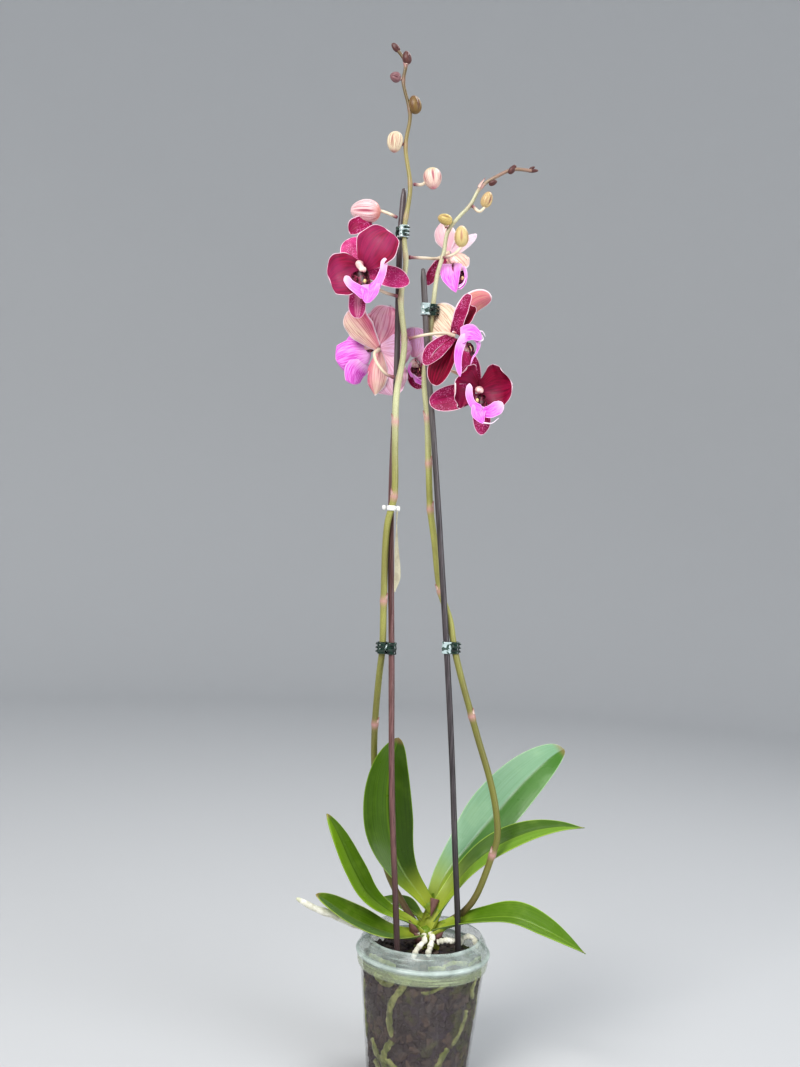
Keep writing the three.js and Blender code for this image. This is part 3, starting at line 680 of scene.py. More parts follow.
def spike_material(name, crest):
    green = Finish(name, Roughness=0.45, Coat_Weight=0.1, Coat_Roughness=0.3)
    height = green.axis("Z")
    blush = green.attribute("blush")
    mottle = green.noise(60, 3, source=green.stretched((1, 1, 0.35)))
    # Darker towards the foot and paler up high; the palest tone is the stem's own pale green with painted
    # sunlight on it.
    tones = [rgb(0.12, 0.062, 0.045), rgb(0.2, 0.2, 0.04), rgb(0.37, 0.37, 0.105), rgb(0.6, 0.61, 0.36)]
    top = tones[0]
    for (start, end), tone in list(zip(((0.13, 0.19), (0.3, 0.42), (0.52, 0.6)), tones[1:])) + crest:
        top = green.mix(green.between(height, start, end), top, tone)
    top = green.mix(green.between(mottle, 0.35, 0.65, 0.45, 0.0), top, rgb(0.16, 0.14, 0.05))
    freckle = green.between(green.cells(1500), 0.34, 0.2, 0.0, 0.55)
    freckled = green.mix(freckle, top, rgb(0.12, 0.045, 0.03))
    green.use("Base Color", green.mix(blush, freckled, rgb(0.6, 0.3, 0.32)))
    green.use("Roughness", green.between(mottle, 0.3, 0.7, 0.36, 0.52))
    green.bump(green.noise(900, 3), 0.45, 0.0005)
    return green.material


def bract(path, row, side):
    """A small pointed scale that hugs the stem above a joint."""
    centre, tangent = path[row], unit(path[row + 2] - path[row])
    away = unit(np.cross((0, -1, 0), tangent)) * side + np.array((0, -0.55, 0))
    away = unit(away - tangent * np.dot(away, tangent))
    start = centre - tangent * 2.5 + away * 2.2
    tip = centre + tangent * 7.5 + away * 3.9
    bend = centre + tangent * 2 + away * 3.2
    return sheet([start, bend, tip], lambda t: 3.1 * (1 - t) ** 0.7 + 0.15, -away, cup=0.95,
                 thickness=0.5, rows=9, columns=9, finish=1)


def add_spike(name, points, joints, spike_finish):
    rows = 300
    path = curve_through(points, rows)
    t = np.linspace(0, 1, rows)
    radii = SPIKE_WIDE + (SPIKE_THIN - SPIKE_WIDE) * smoothstep(t, 0.55, 1.0)
    radii = radii * (1 + 0.15 * smoothstep(t, 0.05, 0.0))
    blush, parts = np.zeros(rows), []
    for height, side in joints:
        row = int(np.argmin(np.abs(path[:, 2] - height)))
        ring = np.exp(-(((np.arange(rows) - row) / 1.25) ** 2))
        radii = radii + (0.62 if side else 0.35) * ring
        blush = np.maximum(blush, ring * (0.75 if side else 0.2))
        if side:
            parts.append(bract(path, row, side))
    shaft = stem(path, radii, 16)
    shaft["spots"]["blush"] = np.concatenate([np.repeat(blush, 16), [0, 0]])
    for part in parts:
        part["spots"]["blush"] = 0.25 * np.ones(len(part["verts"]))
    return add_parts(name, [shaft] + parts, [spike_finish, bract_finish], [name])


def bract_material():
    paper = Finish("papery bract", Roughness=0.6)
    streak = paper.noise(500, 3, source=paper.stretched((1, 1, 0.2)))
    colour = paper.mix(paper.between(streak, 0.3, 0.7), rgb(0.5, 0.3, 0.28), rgb(0.74, 0.58, 0.5))
    colour = paper.mix(paper.between(paper.attribute("along"), 0.5, 1.0), colour, rgb(0.32, 0.13, 0.12))
    return paper.use("Base Color", colour).material


bract_finish = bract_material()
olive_stem = spike_material(
    "left flower stem", [((0.72, 0.78), rgb(0.36, 0.31, 0.11)), ((0.79, 0.89), rgb(0.13, 0.075, 0.035))])
# The right stem's pale band high up is its own pale green with painted sunlight on it.
sunlit_pale_stem = spike_material("right flower stem",
                           [((0.66, 0.74), rgb(0.64, 0.64, 0.43)), ((0.786, 0.808), rgb(0.33, 0.21, 0.16))])
add_spike("spike_left", SPIKE_LEFT, JOINTS_LEFT, olive_stem)
add_spike("spike_right", SPIKE_RIGHT, JOINTS_RIGHT, sunlit_pale_stem)


# ---- leaves ----
# Seven thick, waxy strap leaves. Each is folded along its midrib where it leaves the short
# stem, opens out to its full width and narrows again to a browned tip.
# Each leaf's two tones colour the two halves of its fold: one half painted as lit and the other as shaded.
# The first tone of leaf_right_large is also a painted bluish sheen.
LEAVES = {
    "leaf_upright": {
        "midrib": [(6, 3, 146), (-5, 5, 159), (-21, 6, 179), (-33.6, 5, 207), (-39, 3, 241), (-38, 4, 272),
                   (-31.5, 8, 299)],
        "width": 45, "face": [(0.2, -0.8, 0.6), (0.1, -1, 0.1)], "vee": 0.16, "point": 0.62,
        "tone": (rgb(0.06, 0.13, 0.003), rgb(0.04, 0.09, 0.002)), "edge": rgb(0.18, 0.3, 0.02),
    },
    "leaf_left": {
        "midrib": [(-3, -2, 131), (-15, -6, 139), (-34, -10, 149), (-52, -14, 164), (-66.5, -16, 187),
                   (-79, -18, 212), (-91, -20, 234)],
        "width": 30, "face": [(0.3, -0.3, 0.9), (0.62, -0.58, 0.52)], "vee": 0.1, "point": 0.8,
        "foot": 0.34, "rib": -0.5,
        "tone": (rgb(0.15, 0.27, 0.006), rgb(0.08, 0.16, 0.004)), "edge": rgb(0.28, 0.42, 0.04),
    },
    "leaf_lower_left": {
        "midrib": [(-3, -6, 125), (-21.5, -14, 128), (-45, -20, 136), (-67, -25, 147), (-84, -28, 158),
                   (-96.4, -30, 166)],
        "width": 31, "face": [(0.2, -0.2, 1), (0.32, -0.42, 0.85)], "vee": 0.2, "point": 0.7,
        "foot": 0.5, "rib": 0.1,
        "tone": (rgb(0.1, 0.19, 0.035), rgb(0.08, 0.155, 0.008)), "edge": rgb(0.42, 0.5, 0.1),
    },
    "leaf_right_large": {
        "midrib": [(7.4, 8, 147), (16.4, 14, 173), (37.3, 24, 200), (64, 34, 231), (90.5, 44, 260),
                   (116.6, 52, 283), (125.3, 55, 288)],
        "width": 47, "face": [(-0.35, -0.85, 0.35)], "vee": 0.12, "point": 0.52, "skew": -0.12,
        "rib": -0.2, "stripe": 0.35,
        "tone": (rgb(0.22, 0.39, 0.24), rgb(0.075, 0.2, 0.035)), "edge": rgb(0.4, 0.58, 0.34),
    },
    "leaf_right_middle": {
        "midrib": [(9, -2, 139), (21.6, 1, 162), (38, 4, 185), (61, 5, 205), (89.3, 0, 221),
                   (115, -7, 229), (136.6, -14, 231.7)],
        "width": 28, "face": [(-0.6, -0.5, 0.6), (-0.36, -0.45, 0.82)], "vee": 0.22, "point": 1.1,
        "foot": 0.6,
        "tone": (rgb(0.07, 0.15, 0.015), rgb(0.19, 0.34, 0.035)), "edge": rgb(0.38, 0.54, 0.09),
        "green": 0.42,
    },
    "leaf_right_lower": {
        "midrib": [(10, -5, 130), (33, -12, 142), (55, -16, 148.5), (78.6, -20, 151), (105, -24, 143),
                   (125, -27, 134), (140.4, -30, 126.3)],
        "width": 33, "face": [(0, -0.28, 0.96)], "vee": 0.28, "point": 1.05, "foot": 0.4,
        "tone": (rgb(0.1, 0.2, 0.008), rgb(0.13, 0.25, 0.012)), "edge": rgb(0.34, 0.5, 0.07),
    },
    "leaf_back_small": {
        "midrib": [(0, 10, 134), (-11, 22, 139), (-24, 30, 143), (-38, 38, 145)],
        "width": 20, "face": [(0.1, -0.3, 0.95)], "vee": 0.3, "point": 0.8,
        "tone": (rgb(0.11, 0.2, 0.015), rgb(0.09, 0.17, 0.012)), "edge": rgb(0.3, 0.42, 0.08),
    },
}


def leaf_material(name, tones, edge, rib_share, green_from, stripe):
    leaf = Finish(name, Roughness=0.34, Specular_IOR_Level=0.28, Coat_Weight=0.08, Coat_Roughness=0.15)
    across, along = leaf.attribute("across"), leaf.attribute("along")
    upper = leaf.attribute("upper")
    strips = leaf.node("ShaderNodeCombineXYZ", {"X": leaf.times(across, 9.0), "Y": along})
    fibre = leaf.noise(2.4, 4, source=strips.outputs[0])
    cloud = leaf.noise(45, 3)
    # Painted light and shade: each half of the folded blade gets its own tone, one lit and one shaded.
    half = leaf.between(across, -0.06, 0.06)
    colour = leaf.mix(half, tones[0], tones[1])
    dark = leaf.mix(1.0, colour, rgb(0.72, 0.75, 0.6), "MULTIPLY")
    colour = leaf.mix(leaf.between(fibre, 0.32, 0.62, 1 - stripe, 1.0), dark, colour)
    colour = leaf.mix(leaf.between(cloud, 0.5, 0.75, 0.0, 0.16), colour, edge)
    base = leaf.between(along, green_from, 0.04)
    colour = leaf.mix(leaf.times(base, 0.85), colour, rgb(0.4, 0.47, 0.055))
    # Where rib_share is above zero the midrib line is a painted highlight; below zero it is a darker line.
    rib = leaf.between(leaf.size(across), 0.07, 0.015)
    rib_tone = edge if rib_share > 0 else rgb(0.03, 0.07, 0.004)
    colour = leaf.mix(leaf.times(rib, abs(rib_share)), colour, rib_tone)
    rim = leaf.between(leaf.attribute("margin"), 1.0, 0.25)
    colour = leaf.mix(leaf.times(rim, 0.85), colour, edge)
    tip = leaf.between(along, 0.955, 0.995)
    colour = leaf.mix(leaf.times(tip, 0.6), colour, rgb(0.3, 0.17, 0.09))
    under = leaf.mix(fibre, rgb(0.16, 0.25, 0.07), rgb(0.26, 0.36, 0.12))
    leaf.use("Base Color", leaf.mix(upper, under, colour))
    leaf.use("Roughness", leaf.between(cloud, 0.3, 0.7, 0.26, 0.42))
    leaf.bump(fibre, 0.14, 0.0012)
    return leaf.material


def leaf_outline(width, point, foot):
    """Half-width of a strap leaf: narrow at its foot, widest past the middle, ending in a point."""
    widest = 0.56

    def half(t):
        body = foot + (1 - foot) * float(smoothstep(t, 0.06, widest))
        taper = max(1 - ((t - widest) / (1 - widest)) ** 2, 0.0004) ** point if t > widest else 1.0
        return width / 2 * body * taper

    return half


def add_leaf(name, leaf):
    rows = 56
    share = np.linspace(0, 1, rows)
    cup = 1.25 * (1 - smoothstep(share, 0.0, 0.4)) + 0.1
    outline = leaf_outline(leaf["width"], leaf["point"], leaf.get("foot", 0.36))
    blade = sheet(leaf["midrib"], outline, leaf["face"], cup=cup, vee=leaf["vee"], thickness=2.2,
                  rows=rows, columns=27, ruffle=0.8, waves=1.3, phase=len(name), groove=0.8,
                  skew=leaf.get("skew", 0.0))
    finish = leaf_material(name.replace("_", " "), leaf["tone"], leaf["edge"], leaf.get("rib", 0.3),
                           leaf.get("green", 0.3), leaf.get("stripe", 1.0))
    return add_parts(name, [blade], [finish], [name])


for leaf_name, leaf in LEAVES.items():
    add_leaf(leaf_name, leaf)


# ---- crown ----
# The short stem between the leaves: a stack of clasping leaf bases, yellow-green above, with
# the purple-brown papery sheaths of old leaves at its foot.
CROWN_AT = (2, 0, 124)
CROWN_RADIUS = 8


def crown_material():
    flesh = Finish("leaf bases", Roughness=0.42, Coat_Weight=0.15)
    along = flesh.attribute("along")
    streak = flesh.noise(260, 3, source=flesh.stretched((1, 1, 0.3)))
    colour = flesh.mix(streak, rgb(0.3, 0.36, 0.04), rgb(0.56, 0.6, 0.12))
    flesh.use("Base Color", flesh.mix(flesh.between(along, 0.75, 1.0), colour, rgb(0.2, 0.32, 0.03)))
    flesh.bump(streak, 0.3, 0.0006)
    return flesh.material


def sheath_material():
    husk = Finish("old leaf sheaths", Roughness=0.7)
    streak = husk.noise(400, 4, source=husk.stretched((1, 1, 0.2)))
    husk.use("Base Color", husk.mix(streak, rgb(0.09, 0.035, 0.038), rgb(0.27, 0.14, 0.12)))
    husk.bump(streak, 0.5, 0.0006)
    return husk.material


def add_crown():
    centre = np.array(CROWN_AT, float)
    parts = [stem([centre + (0, 0, z) for z in np.linspace(-24, 8, 16)],
                  [CROWN_RADIUS * (0.75 + 0.25 * math.sin(0.13 * k * k)) for k in range(16)], 20)]
    for leaf in LEAVES.values():
        start, onward = np.array(leaf["midrib"][0], float), np.array(leaf["midrib"][1], float)
        outward = onward - start
        low = centre + (0, 0, start[2] - centre[2] - 16)
        low = low + (outward[0] * 0.18, outward[1] * 0.18, 0)
        path = [low, start - outward * 0.15 - (0, 0, 3), start + outward * 0.45]
        parts.append(sheet(path, lambda t: 9.5 - 3.5 * t, leaf["face"][0], cup=1.5, thickness=2.6,
                           rows=14, columns=15))
    for turn, rise in ((200, 0), (310, 5), (80, 2), (150, 7), (20, 3)):
        angle = math.radians(turn)
        out = np.array((math.cos(angle), math.sin(angle), 0))
        foot = centre + out * 5.5 + (0, 0, -16 + rise)
        path = [foot, foot + out * 3 + (0, 0, 8), foot + out * 5.5 + (0, 0, 15)]
        parts.append(sheet(path, lambda t: 7.5 * (1 - t) ** 0.6 + 0.3, -out, cup=1.0, thickness=0.5,
                           rows=10, columns=11, ruffle=0.8, finish=1))
    for foot, top, wide in (((8.5, 0, 158), (5.5, -3, 143), 4.5), ((-8, -7, 128), (-14, -10, 141), 5),
                            ((0, -9, 120), (-9, -13, 131), 7), ((9, -8, 122), (17, -10, 133), 5)):
        foot, top = np.array(foot, float), np.array(top, float)
        path = [foot, (foot + top) / 2 + (0, -1.5, 0), top]
        parts.append(sheet(path, lambda t, w=wide: w * (1 - t) ** 0.8 + 0.3, (0.1, 1, 0), cup=0.9,
                           thickness=0.5, rows=12, columns=11, ruffle=0.5, finish=1))
    return add_parts("plant_crown", parts, [crown_material(), sheath_material()], ["plant_crown"])


add_crown()


# ---- roots ----
# Fleshy roots with a felty, silver-white skin that greens where it is wet: aerial ones leave
# the crown over the rim, and others run down inside the pot, pressed to its clear wall.
SURFACE_ROOTS = {
    "root_aerial_left": ([(-4, -3, 127), (-30, -8, 127), (-60, -15, 136), (-83, -24, 147),
                          (-100, -28, 154.5), (-113, -30, 161.5)], 2.9),
    "root_front_left": ([(0, -8, 128), (0.5, -13, 125), (-4, -17, 120.5), (-7.5, -20, 116),
                         (-9, -22, 111)], 2.4),
    "root_front_middle": ([(6, -8, 130), (7.5, -12.5, 126), (6, -15.5, 121), (4.5, -17, 116),
                           (4.5, -18.5, 111)], 2.5),
    "root_surface_right": ([(12, -15, 124.5), (19, -16, 127), (28, -15, 126)], 2.4),
    "root_arched_right": ([(30, -9, 118), (34, -9, 126), (40, -10, 129.5), (45, -11, 126.5),
                           (47.5, -12, 120)], 2.3),
}
# Roots along the wall: degrees round from the front, and height. The thicker ones first,
# then finer ones that wind under the skirt, low in the pot and round the back.
WALL_ROOTS = {
    "root_in_pot_left": ([(-13, 105), (-23, 92), (-31, 80), (-34, 64), (-31, 50)], 3.0),
    "root_in_pot_low": ([(-31, 46), (-40, 35), (-42, 24), (-36, 12)], 3.2),
    "root_in_pot_right": ([(52, 72), (50, 61), (43, 51), (37, 44)], 2.3),
}
FINE_WALL_ROOTS = {
    "root_under_skirt_left": ([(-52, 101), (-44, 96.5), (-35, 96), (-29, 99)], 2.5),
    "root_under_skirt_right": ([(24, 101), (14, 97), (4, 93.5), (-2, 94)], 1.5),
    "root_through_skirt": ([(-40, 108), (-24, 104), (-4, 107), (8, 104)], 1.8),
    "root_low_left": ([(-62, 40), (-50, 27), (-32, 26), (-22, 14)], 3.0),
    "root_low_left_end": ([(-58, 22), (-46, 14), (-34, 6)], 3.0),
    "root_low_right": ([(31, 42), (24, 33), (20, 20), (24, 8)], 2.9),
    "root_right_edge": ([(63, 98), (58, 90), (62, 80)], 2.4),
    "root_round_back": ([(118, 90), (140, 78), (165, 84), (190, 66), (215, 60)], 2.8),
    "root_low_back": ([(150, 38), (175, 26), (205, 34), (232, 22)], 3.0),
    "root_left_side": ([(-78, 86), (-92, 66), (-84, 46), (-98, 28)], 2.8),
    "root_right_side": ([(82, 96), (96, 80), (88, 60), (104, 44)], 2.4),
}
# Roots that lie on the bark under the collar.
COLLAR_ROOTS = {
    "root_collar_loop": ([(17, -42, 113), (24, -43, 117), (33, -39, 116), (36, -33, 113.5),
                          (29, -35, 113)], 1.7),
    "root_collar_middle": ([(4, -46, 112), (11, -47, 113.5), (19, -45, 112)], 1.9),
    "root_collar_left": ([(-46, -22, 112), (-42, -31, 114), (-33, -38, 113), (-24, -41, 111)], 2.0),
    "root_collar_right": ([(50, -14, 112), (46, -26, 115), (39, -34, 112)], 1.5),
}


def root_material(name, pale, shade):
    felt = Finish(name, Roughness=0.85, Sheen_Weight=0.3)
    patch = felt.noise(160, 4)
    colour = felt.mix(felt.between(patch, 0.35, 0.68), shade, pale)
    tip = felt.between(felt.attribute("along"), 0.95, 1.0, 0.0, 0.5)
    felt.use("Base Color", felt.mix(tip, colour, rgb(0.4, 0.45, 0.2)))
    felt.bump(felt.noise(1100, 4), 0.5, 0.0004)
    return felt.material


def wall_route(turns):
    points = []
    for degrees, z in turns:
        angle = math.radians(degrees - 90)
        reach = inside_radius(z * MM) / MM - 1.9
        points.append((reach * math.cos(angle), reach * math.sin(angle), z))
    return points


def add_root(name, points, radius, finish, replaced=None, pressed=False):
    rows = 70
    path = curve_through(points, rows)
    t = np.linspace(0, 1, rows)
    wander = 0.35 * np.sin(19 * t + len(name)) * np.sin(7 * t)
    path = path + np.stack([wander, 0 * t, 0.6 * wander], axis=1)
    radii = radius * (1 + 0.1 * np.sin(23 * t + radius) + 0.07 * np.sin(51 * t))
    radii *= np.where(t > 0.9, np.sqrt(np.clip(1 - ((t - 0.9) / 0.105) ** 2, 0.05, 1)), 1)
    part = stem(path, radii, 12)
    if pressed:
        reach = np.hypot(part["verts"][:, 0], part["verts"][:, 1])
        room = np.array([inside_radius(z * MM) / MM for z in part["verts"][:, 2]]) - 0.35
        part["verts"][:, :2] *= np.minimum(1, room / reach)[:, None]
    return add_parts(name, [part], [finish], [name] if replaced is None else replaced)


dry_skin = root_material("dry root skin", rgb(0.9, 0.88, 0.78), rgb(0.66, 0.64, 0.52))
wet_skin = root_material("damp root skin", rgb(0.44, 0.46, 0.18), rgb(0.17, 0.2, 0.05))
for root_name, (points, radius) in SURFACE_ROOTS.items():
    add_root(root_name, points, radius, dry_skin)
for root_name, (turns, radius) in WALL_ROOTS.items():
    add_root(root_name, wall_route(turns), radius, wet_skin, pressed=True)
for root_name, (turns, radius) in FINE_WALL_ROOTS.items():
    add_root(root_name, wall_route(turns), radius, wet_skin, replaced=[], pressed=True)
for root_name, (points, radius) in COLLAR_ROOTS.items():
    add_root(root_name, points, radius, wet_skin, replaced=[])


# ---- stem clips and tag ----
# Small moulded clips hold each spike to its stake: a ribbed collar round each and a bridge with
# a hinge pin between them, each of the three dark (0) or pale with a painted glint (1). A white
# clip lower down carries a narrow blank paper tag.
CLIPS = {
    "clip_left_upper": ((-53.5, -4.7), (-50.2, -11.4), 750, (0, 1, 0)),
    "clip_left_lower": ((-42, -11), (-50.2, -8), 381, (0, 0, 1)),
    "clip_right_upper": ((-27.6, -3.2), (-21.2, 0), 684, (1, 0, 1)),
    "clip_right_lower": ((6.7, -9), (13.6, -6), 384, (1, 0, 0)),
}
CLIP_HEIGHT = 10.5
CLIP_WALL = 1.7


def collar_ring(centre, z, inner, wall, height, square=0.0, ribs=0, finish=0):
    """A ring with softened edges, a little squared, with shallow ribs round it."""
    levels = 4 * ribs + 5
    outline = []
    for step in np.linspace(0, 1, levels):
        rise = (step - 0.5) * height
        chamfer = 0.35 * max(1 - min(step, 1 - step) * height / 0.7, 0)
        rib = 0.5 * (0.5 - 0.5 * math.cos(2 * math.pi * ribs * step)) if ribs else 0.0
        outline.append((inner + wall - chamfer - rib, rise))
    outline += [(inner, height / 2), (inner, -height / 2)]
    sides, verts = 28, []
    for radius, rise in outline:
        for k in range(sides):
            angle = 2 * math.pi * k / sides
            push = 1 + (square * (abs(math.sin(2 * angle)) ** 1.5) if radius > inner else 0)
            verts.append((centre[0] + radius * push * math.cos(angle),
                          centre[1] + radius * push * math.sin(angle), z + rise))
    faces = grid_faces(len(outline), sides, wrap=True)
    last = (len(outline) - 1) * sides
    faces += [[last + k, last + (k + 1) % sides, (k + 1) % sides, k] for k in range(sides)]
    return rimless(verts, faces, 0.5, finish)


def bar(start, end, half_wide, half_tall, finish=0):
    """A rounded bar between two points, as a squashed stalk."""
    path = np.linspace(start, end, 7)
    verts, faces, along = stalk(path, [0.86, 1, 1, 1, 1, 1, 0.86], 12)
    middle = (np.asarray(start, float) + end) / 2
    direction = unit(np.asarray(end, float) - start)
    level = unit(np.cross(direction, (0, 0, 1)))
    offset = verts - middle
    run = offset @ direction
    verts = middle + np.outer(run, direction) + np.outer((offset @ level) * half_wide, level)
    verts[:, 2] += ((offset - np.outer(run, direction))[:, 2]) * half_tall
    return rimless(verts, faces, along, finish)


def clip_material(name, colour, deep, gloss):
    shell = Finish(name, Roughness=gloss, IOR=1.5, Coat_Weight=0.6, Coat_Roughness=0.08)
    cloud = shell.noise(230, 1, source=shell.stretched((1, 1, 1.3)))
    shell.use("Base Color", shell.mix(shell.between(cloud, 0.4, 0.5), deep, colour))
    return shell.material


def add_clip(name, stake, held, z, tones):
    a, b = np.array((*stake, z), float), np.array((*held, z), float)
    along = unit(b - a)
    level = unit(np.cross(along, (0, 0, 1)))
    middle = (a + b) / 2
    parts = [
        collar_ring(a, z, 2.75, CLIP_WALL, CLIP_HEIGHT, 0.2, ribs=2, finish=tones[0]),
        collar_ring(b, z, 2.85, CLIP_WALL, CLIP_HEIGHT, 0.2, ribs=3, finish=tones[1]),
        bar(a + along * 2, b - along * 2, 3.3, 4.2, finish=tones[2]),
        bar(middle + level * 3 + (0, 0, 1.4), middle + level * 5.8 + (0, 0, 1.4), 1.5, 1.5),
        bar(middle - level * 3 + (0, 0, -1.2), middle - level * 5.6 + (0, 0, -1.2), 1.3, 1.3),
    ]
    for rise in (-3.4, 0, 3.4):
        rib = b + (0, 0, rise)
        parts.append(bar(rib + along * 3.4, rib + along * 5.6, 3.2, 1.15))
    return add_parts(name, parts, [clip_dark, clip_pale_glint], [name])


clip_dark = clip_material("dark green clip", rgb(0.01, 0.035, 0.022), rgb(0.004, 0.012, 0.009), 0.15)
# The pale clip finish is the clip's pale plastic with a painted glint: its pale and dark mottle stands in for
# highlights on the facets.
clip_pale_glint = clip_material("pale clip face with painted glint", rgb(0.46, 0.57, 0.57), rgb(0.05, 0.09, 0.075), 0.2)
for clip_name, (stake, held, z, tones) in CLIPS.items():
    add_clip(clip_name, stake, held, z, tones)


def add_label():
    white = Finish("white clip", Roughness=0.35, Coat_Weight=0.3)
    white.use("Base Color", white.mix(white.noise(200, 2), rgb(0.72, 0.72, 0.7), rgb(0.9, 0.9, 0.88)))
    stake, held, z = np.array((-48.9, -8.0)), np.array((-48.6, -14.6)), 505
    parts = [
        collar_ring(stake, z, 2.8, 1.1, 4.6, 0.1),
        collar_ring(held, z, 2.95, 1.1, 4.6, 0.1),
        bar((-53.5, -13.5, z), (-56.5, -12.5, z + 0.5), 1.6, 2.2),
        bar((-44.2, -14.5, z), (-41.2, -14.5, z - 0.4), 1.6, 2.4),
    ]
    add_parts("label_clip", parts, [white.material], ["label_clip"])
    card = Finish("blank paper tag", Roughness=0.75)
    fibre = card.noise(700, 4)
    colour = card.mix(fibre, rgb(0.46, 0.42, 0.28), rgb(0.68, 0.64, 0.48))
    stain = card.between(card.noise(90, 3), 0.52, 0.7, 0.0, 0.5)
    card.use("Base Color", card.mix(stain, colour, rgb(0.34, 0.28, 0.2)))
    card.bump(fibre, 0.2, 0.0002)
    midrib = [(-43.9, -15, 502), (-42.6, -18, 470), (-40.5, -17, 446), (-42, -15, 431)]
    tag = sheet(midrib, lambda t: 4.4 * (1 - 0.25 * t) * min(1, (1.03 - t) * 5), [(1, 0.15, 0), (0.5, -1, 0)],
                cup=0.25, thickness=0.35, rows=30, columns=9)
    add_parts("plant_label", [tag], [card.material], ["plant_label"])


add_label()


# ---- flowers ----
# Six moth orchids with deep wine-red petals and speckled magenta sepals, both pale and veined
# behind, a peach column and a violet-pink lip with raised side arms and fine white tendrils.
def petal_shape(width, claw=0.2, widest=0.55):
    def half(t):
        if t < widest:
            rise = claw + (1 - claw) * math.sin(math.pi / 2 * t / widest) ** 1.15
            return width / 2 * rise
        return width / 2 * max(math.sqrt(max(1 - ((t - widest) / (1 - widest)) ** 2, 0)), 0.06)

    return half


def sepal_shape(width, claw=0.4, widest=0.58, power=0.62):
    def half(t):
        if t < widest:
            return width / 2 * (claw + (1 - claw) * math.sin(math.pi / 2 * t / widest))
        return width / 2 * max(max(1 - ((t - widest) / (1 - widest)) ** 2, 0) ** power, 0.05)

    return half


def streaks(finish, scale_across, scale_along, noise_scale):
    """Noise drawn out along the organ, so that it fans out from the base like veins."""
    across = finish.times(finish.attribute("across"), scale_across)
    along = finish.times(finish.attribute("along"), scale_along)
    place = finish.node("ShaderNodeCombineXYZ", {"X": across, "Y": along, "Z": finish.attribute("flower")})
    return finish.noise(noise_scale, 3, source=place.outputs[0])


def tepal_material(name, deep, bright, sheen_tint, speckled):
    tepal = Finish(name, Roughness=0.48, Specular_IOR_Level=0.3)
    upper, along = tepal.attribute("upper"), tepal.attribute("along")
    margin, glow = tepal.attribute("margin"), tepal.attribute("glow")
    middle = tepal.size(tepal.attribute("across"))
    vein = streaks(tepal, 3.0, 0.5, 3.2)
    colour = tepal.mix(tepal.between(vein, 0.3, 0.7), deep, bright)
    # A painted sheen: a cloudy rose haze laid over the upper side, weighted per organ.
    cloud = tepal.between(tepal.noise(42, 2), 0.36, 0.62, 0.15, 0.75)
    colour = tepal.mix(tepal.times(glow, cloud, clamp=True), colour, sheen_tint)
    if speckled:
        dots = tepal.between(tepal.cells(820), 0.5, 0.24)
        zone = tepal.between(tepal.noise(130, 2), 0.38, 0.55)
        dots = tepal.times(dots, zone)
        colour = tepal.mix(tepal.times(dots, 0.62), colour, rgb(0.78, 0.24, 0.5))
    pale = tepal.times(tepal.attribute("white"), tepal.between(middle, 0.55, 0.05))
    colour = tepal.mix(tepal.times(pale, tepal.between(vein, 0.35, 0.6)), colour, rgb(0.88, 0.42, 0.56))
    heart = tepal.between(along, 0.22, 0.04, 0.0, 0.5)
    colour = tepal.mix(heart, colour, rgb(0.1, 0.0, 0.02))
    rim = tepal.times(tepal.between(margin, 1.0, 0.45), tepal.between(along, 0.15, 0.35))
    colour = tepal.mix(tepal.times(rim, 0.9), colour, rgb(0.93, 0.66, 0.78))
    stripe = streaks(tepal, 6.0, 0.6, 2.6)
    blend = tepal.noise(55, 2)
    back = tepal.mix(tepal.between(blend, 0.35, 0.65), rgb(0.88, 0.58, 0.46), rgb(0.86, 0.42, 0.5))
    back = tepal.mix(tepal.times(tepal.attribute("cream"), 0.85), back, rgb(0.9, 0.79, 0.6))
    back = tepal.mix(tepal.attribute("lilac"), back, rgb(0.98, 0.55, 0.96))
    back = tepal.mix(tepal.attribute("coral"), back, rgb(0.44, 0.09, 0.08))
    back = tepal.mix(tepal.attribute("flush"), back, rgb(0.68, 0.1, 0.24))
    back = tepal.mix(tepal.between(along, 0.35, 0.05, 0.0, 0.45), back, rgb(0.82, 0.34, 0.4))
    ink = tepal.mix(tepal.attribute("cream"), rgb(0.56, 0.07, 0.18), rgb(0.4, 0.15, 0.08))
    lines = tepal.mix(0.55, back, ink)
    back = tepal.mix(tepal.between(stripe, 0.5, 0.58), back, lines)
    back = tepal.mix(tepal.between(middle, 0.07, 0.01, 0.0, 0.6), back, lines)
    back = tepal.mix(tepal.times(tepal.attribute("white"), 0.8), back, rgb(0.98, 0.78, 0.92))
    back = tepal.mix(tepal.between(margin, 2.0, 0.3, 0.0, 0.8), back, rgb(0.94, 0.84, 0.9))
    tepal.use("Base Color", tepal.mix(upper, back, colour))
    tepal.use("Roughness", tepal.between(vein, 0.3, 0.7, 0.42, 0.58))
    tepal.bump(vein, 0.35, 0.0009)
    return tepal.material


def lip_material():
    lip = Finish("violet pink lip", Roughness=0.4, Specular_IOR_Level=0.35)
    vein = streaks(lip, 4.0, 1.0, 3.0)
    colour = lip.mix(lip.between(vein, 0.35, 0.65), rgb(0.68, 0.07, 0.57), rgb(0.91, 0.3, 0.86))
    colour = lip.mix(lip.attribute("white"), colour, rgb(0.92, 0.68, 0.88))
    rim = lip.between(lip.attribute("margin"), 0.8, 0.2, 0.0, 0.5)
    lip.use("Base Color", lip.mix(rim, colour, rgb(0.94, 0.7, 0.9)))
    lip.bump(vein, 0.3, 0.0006)
    return lip.material


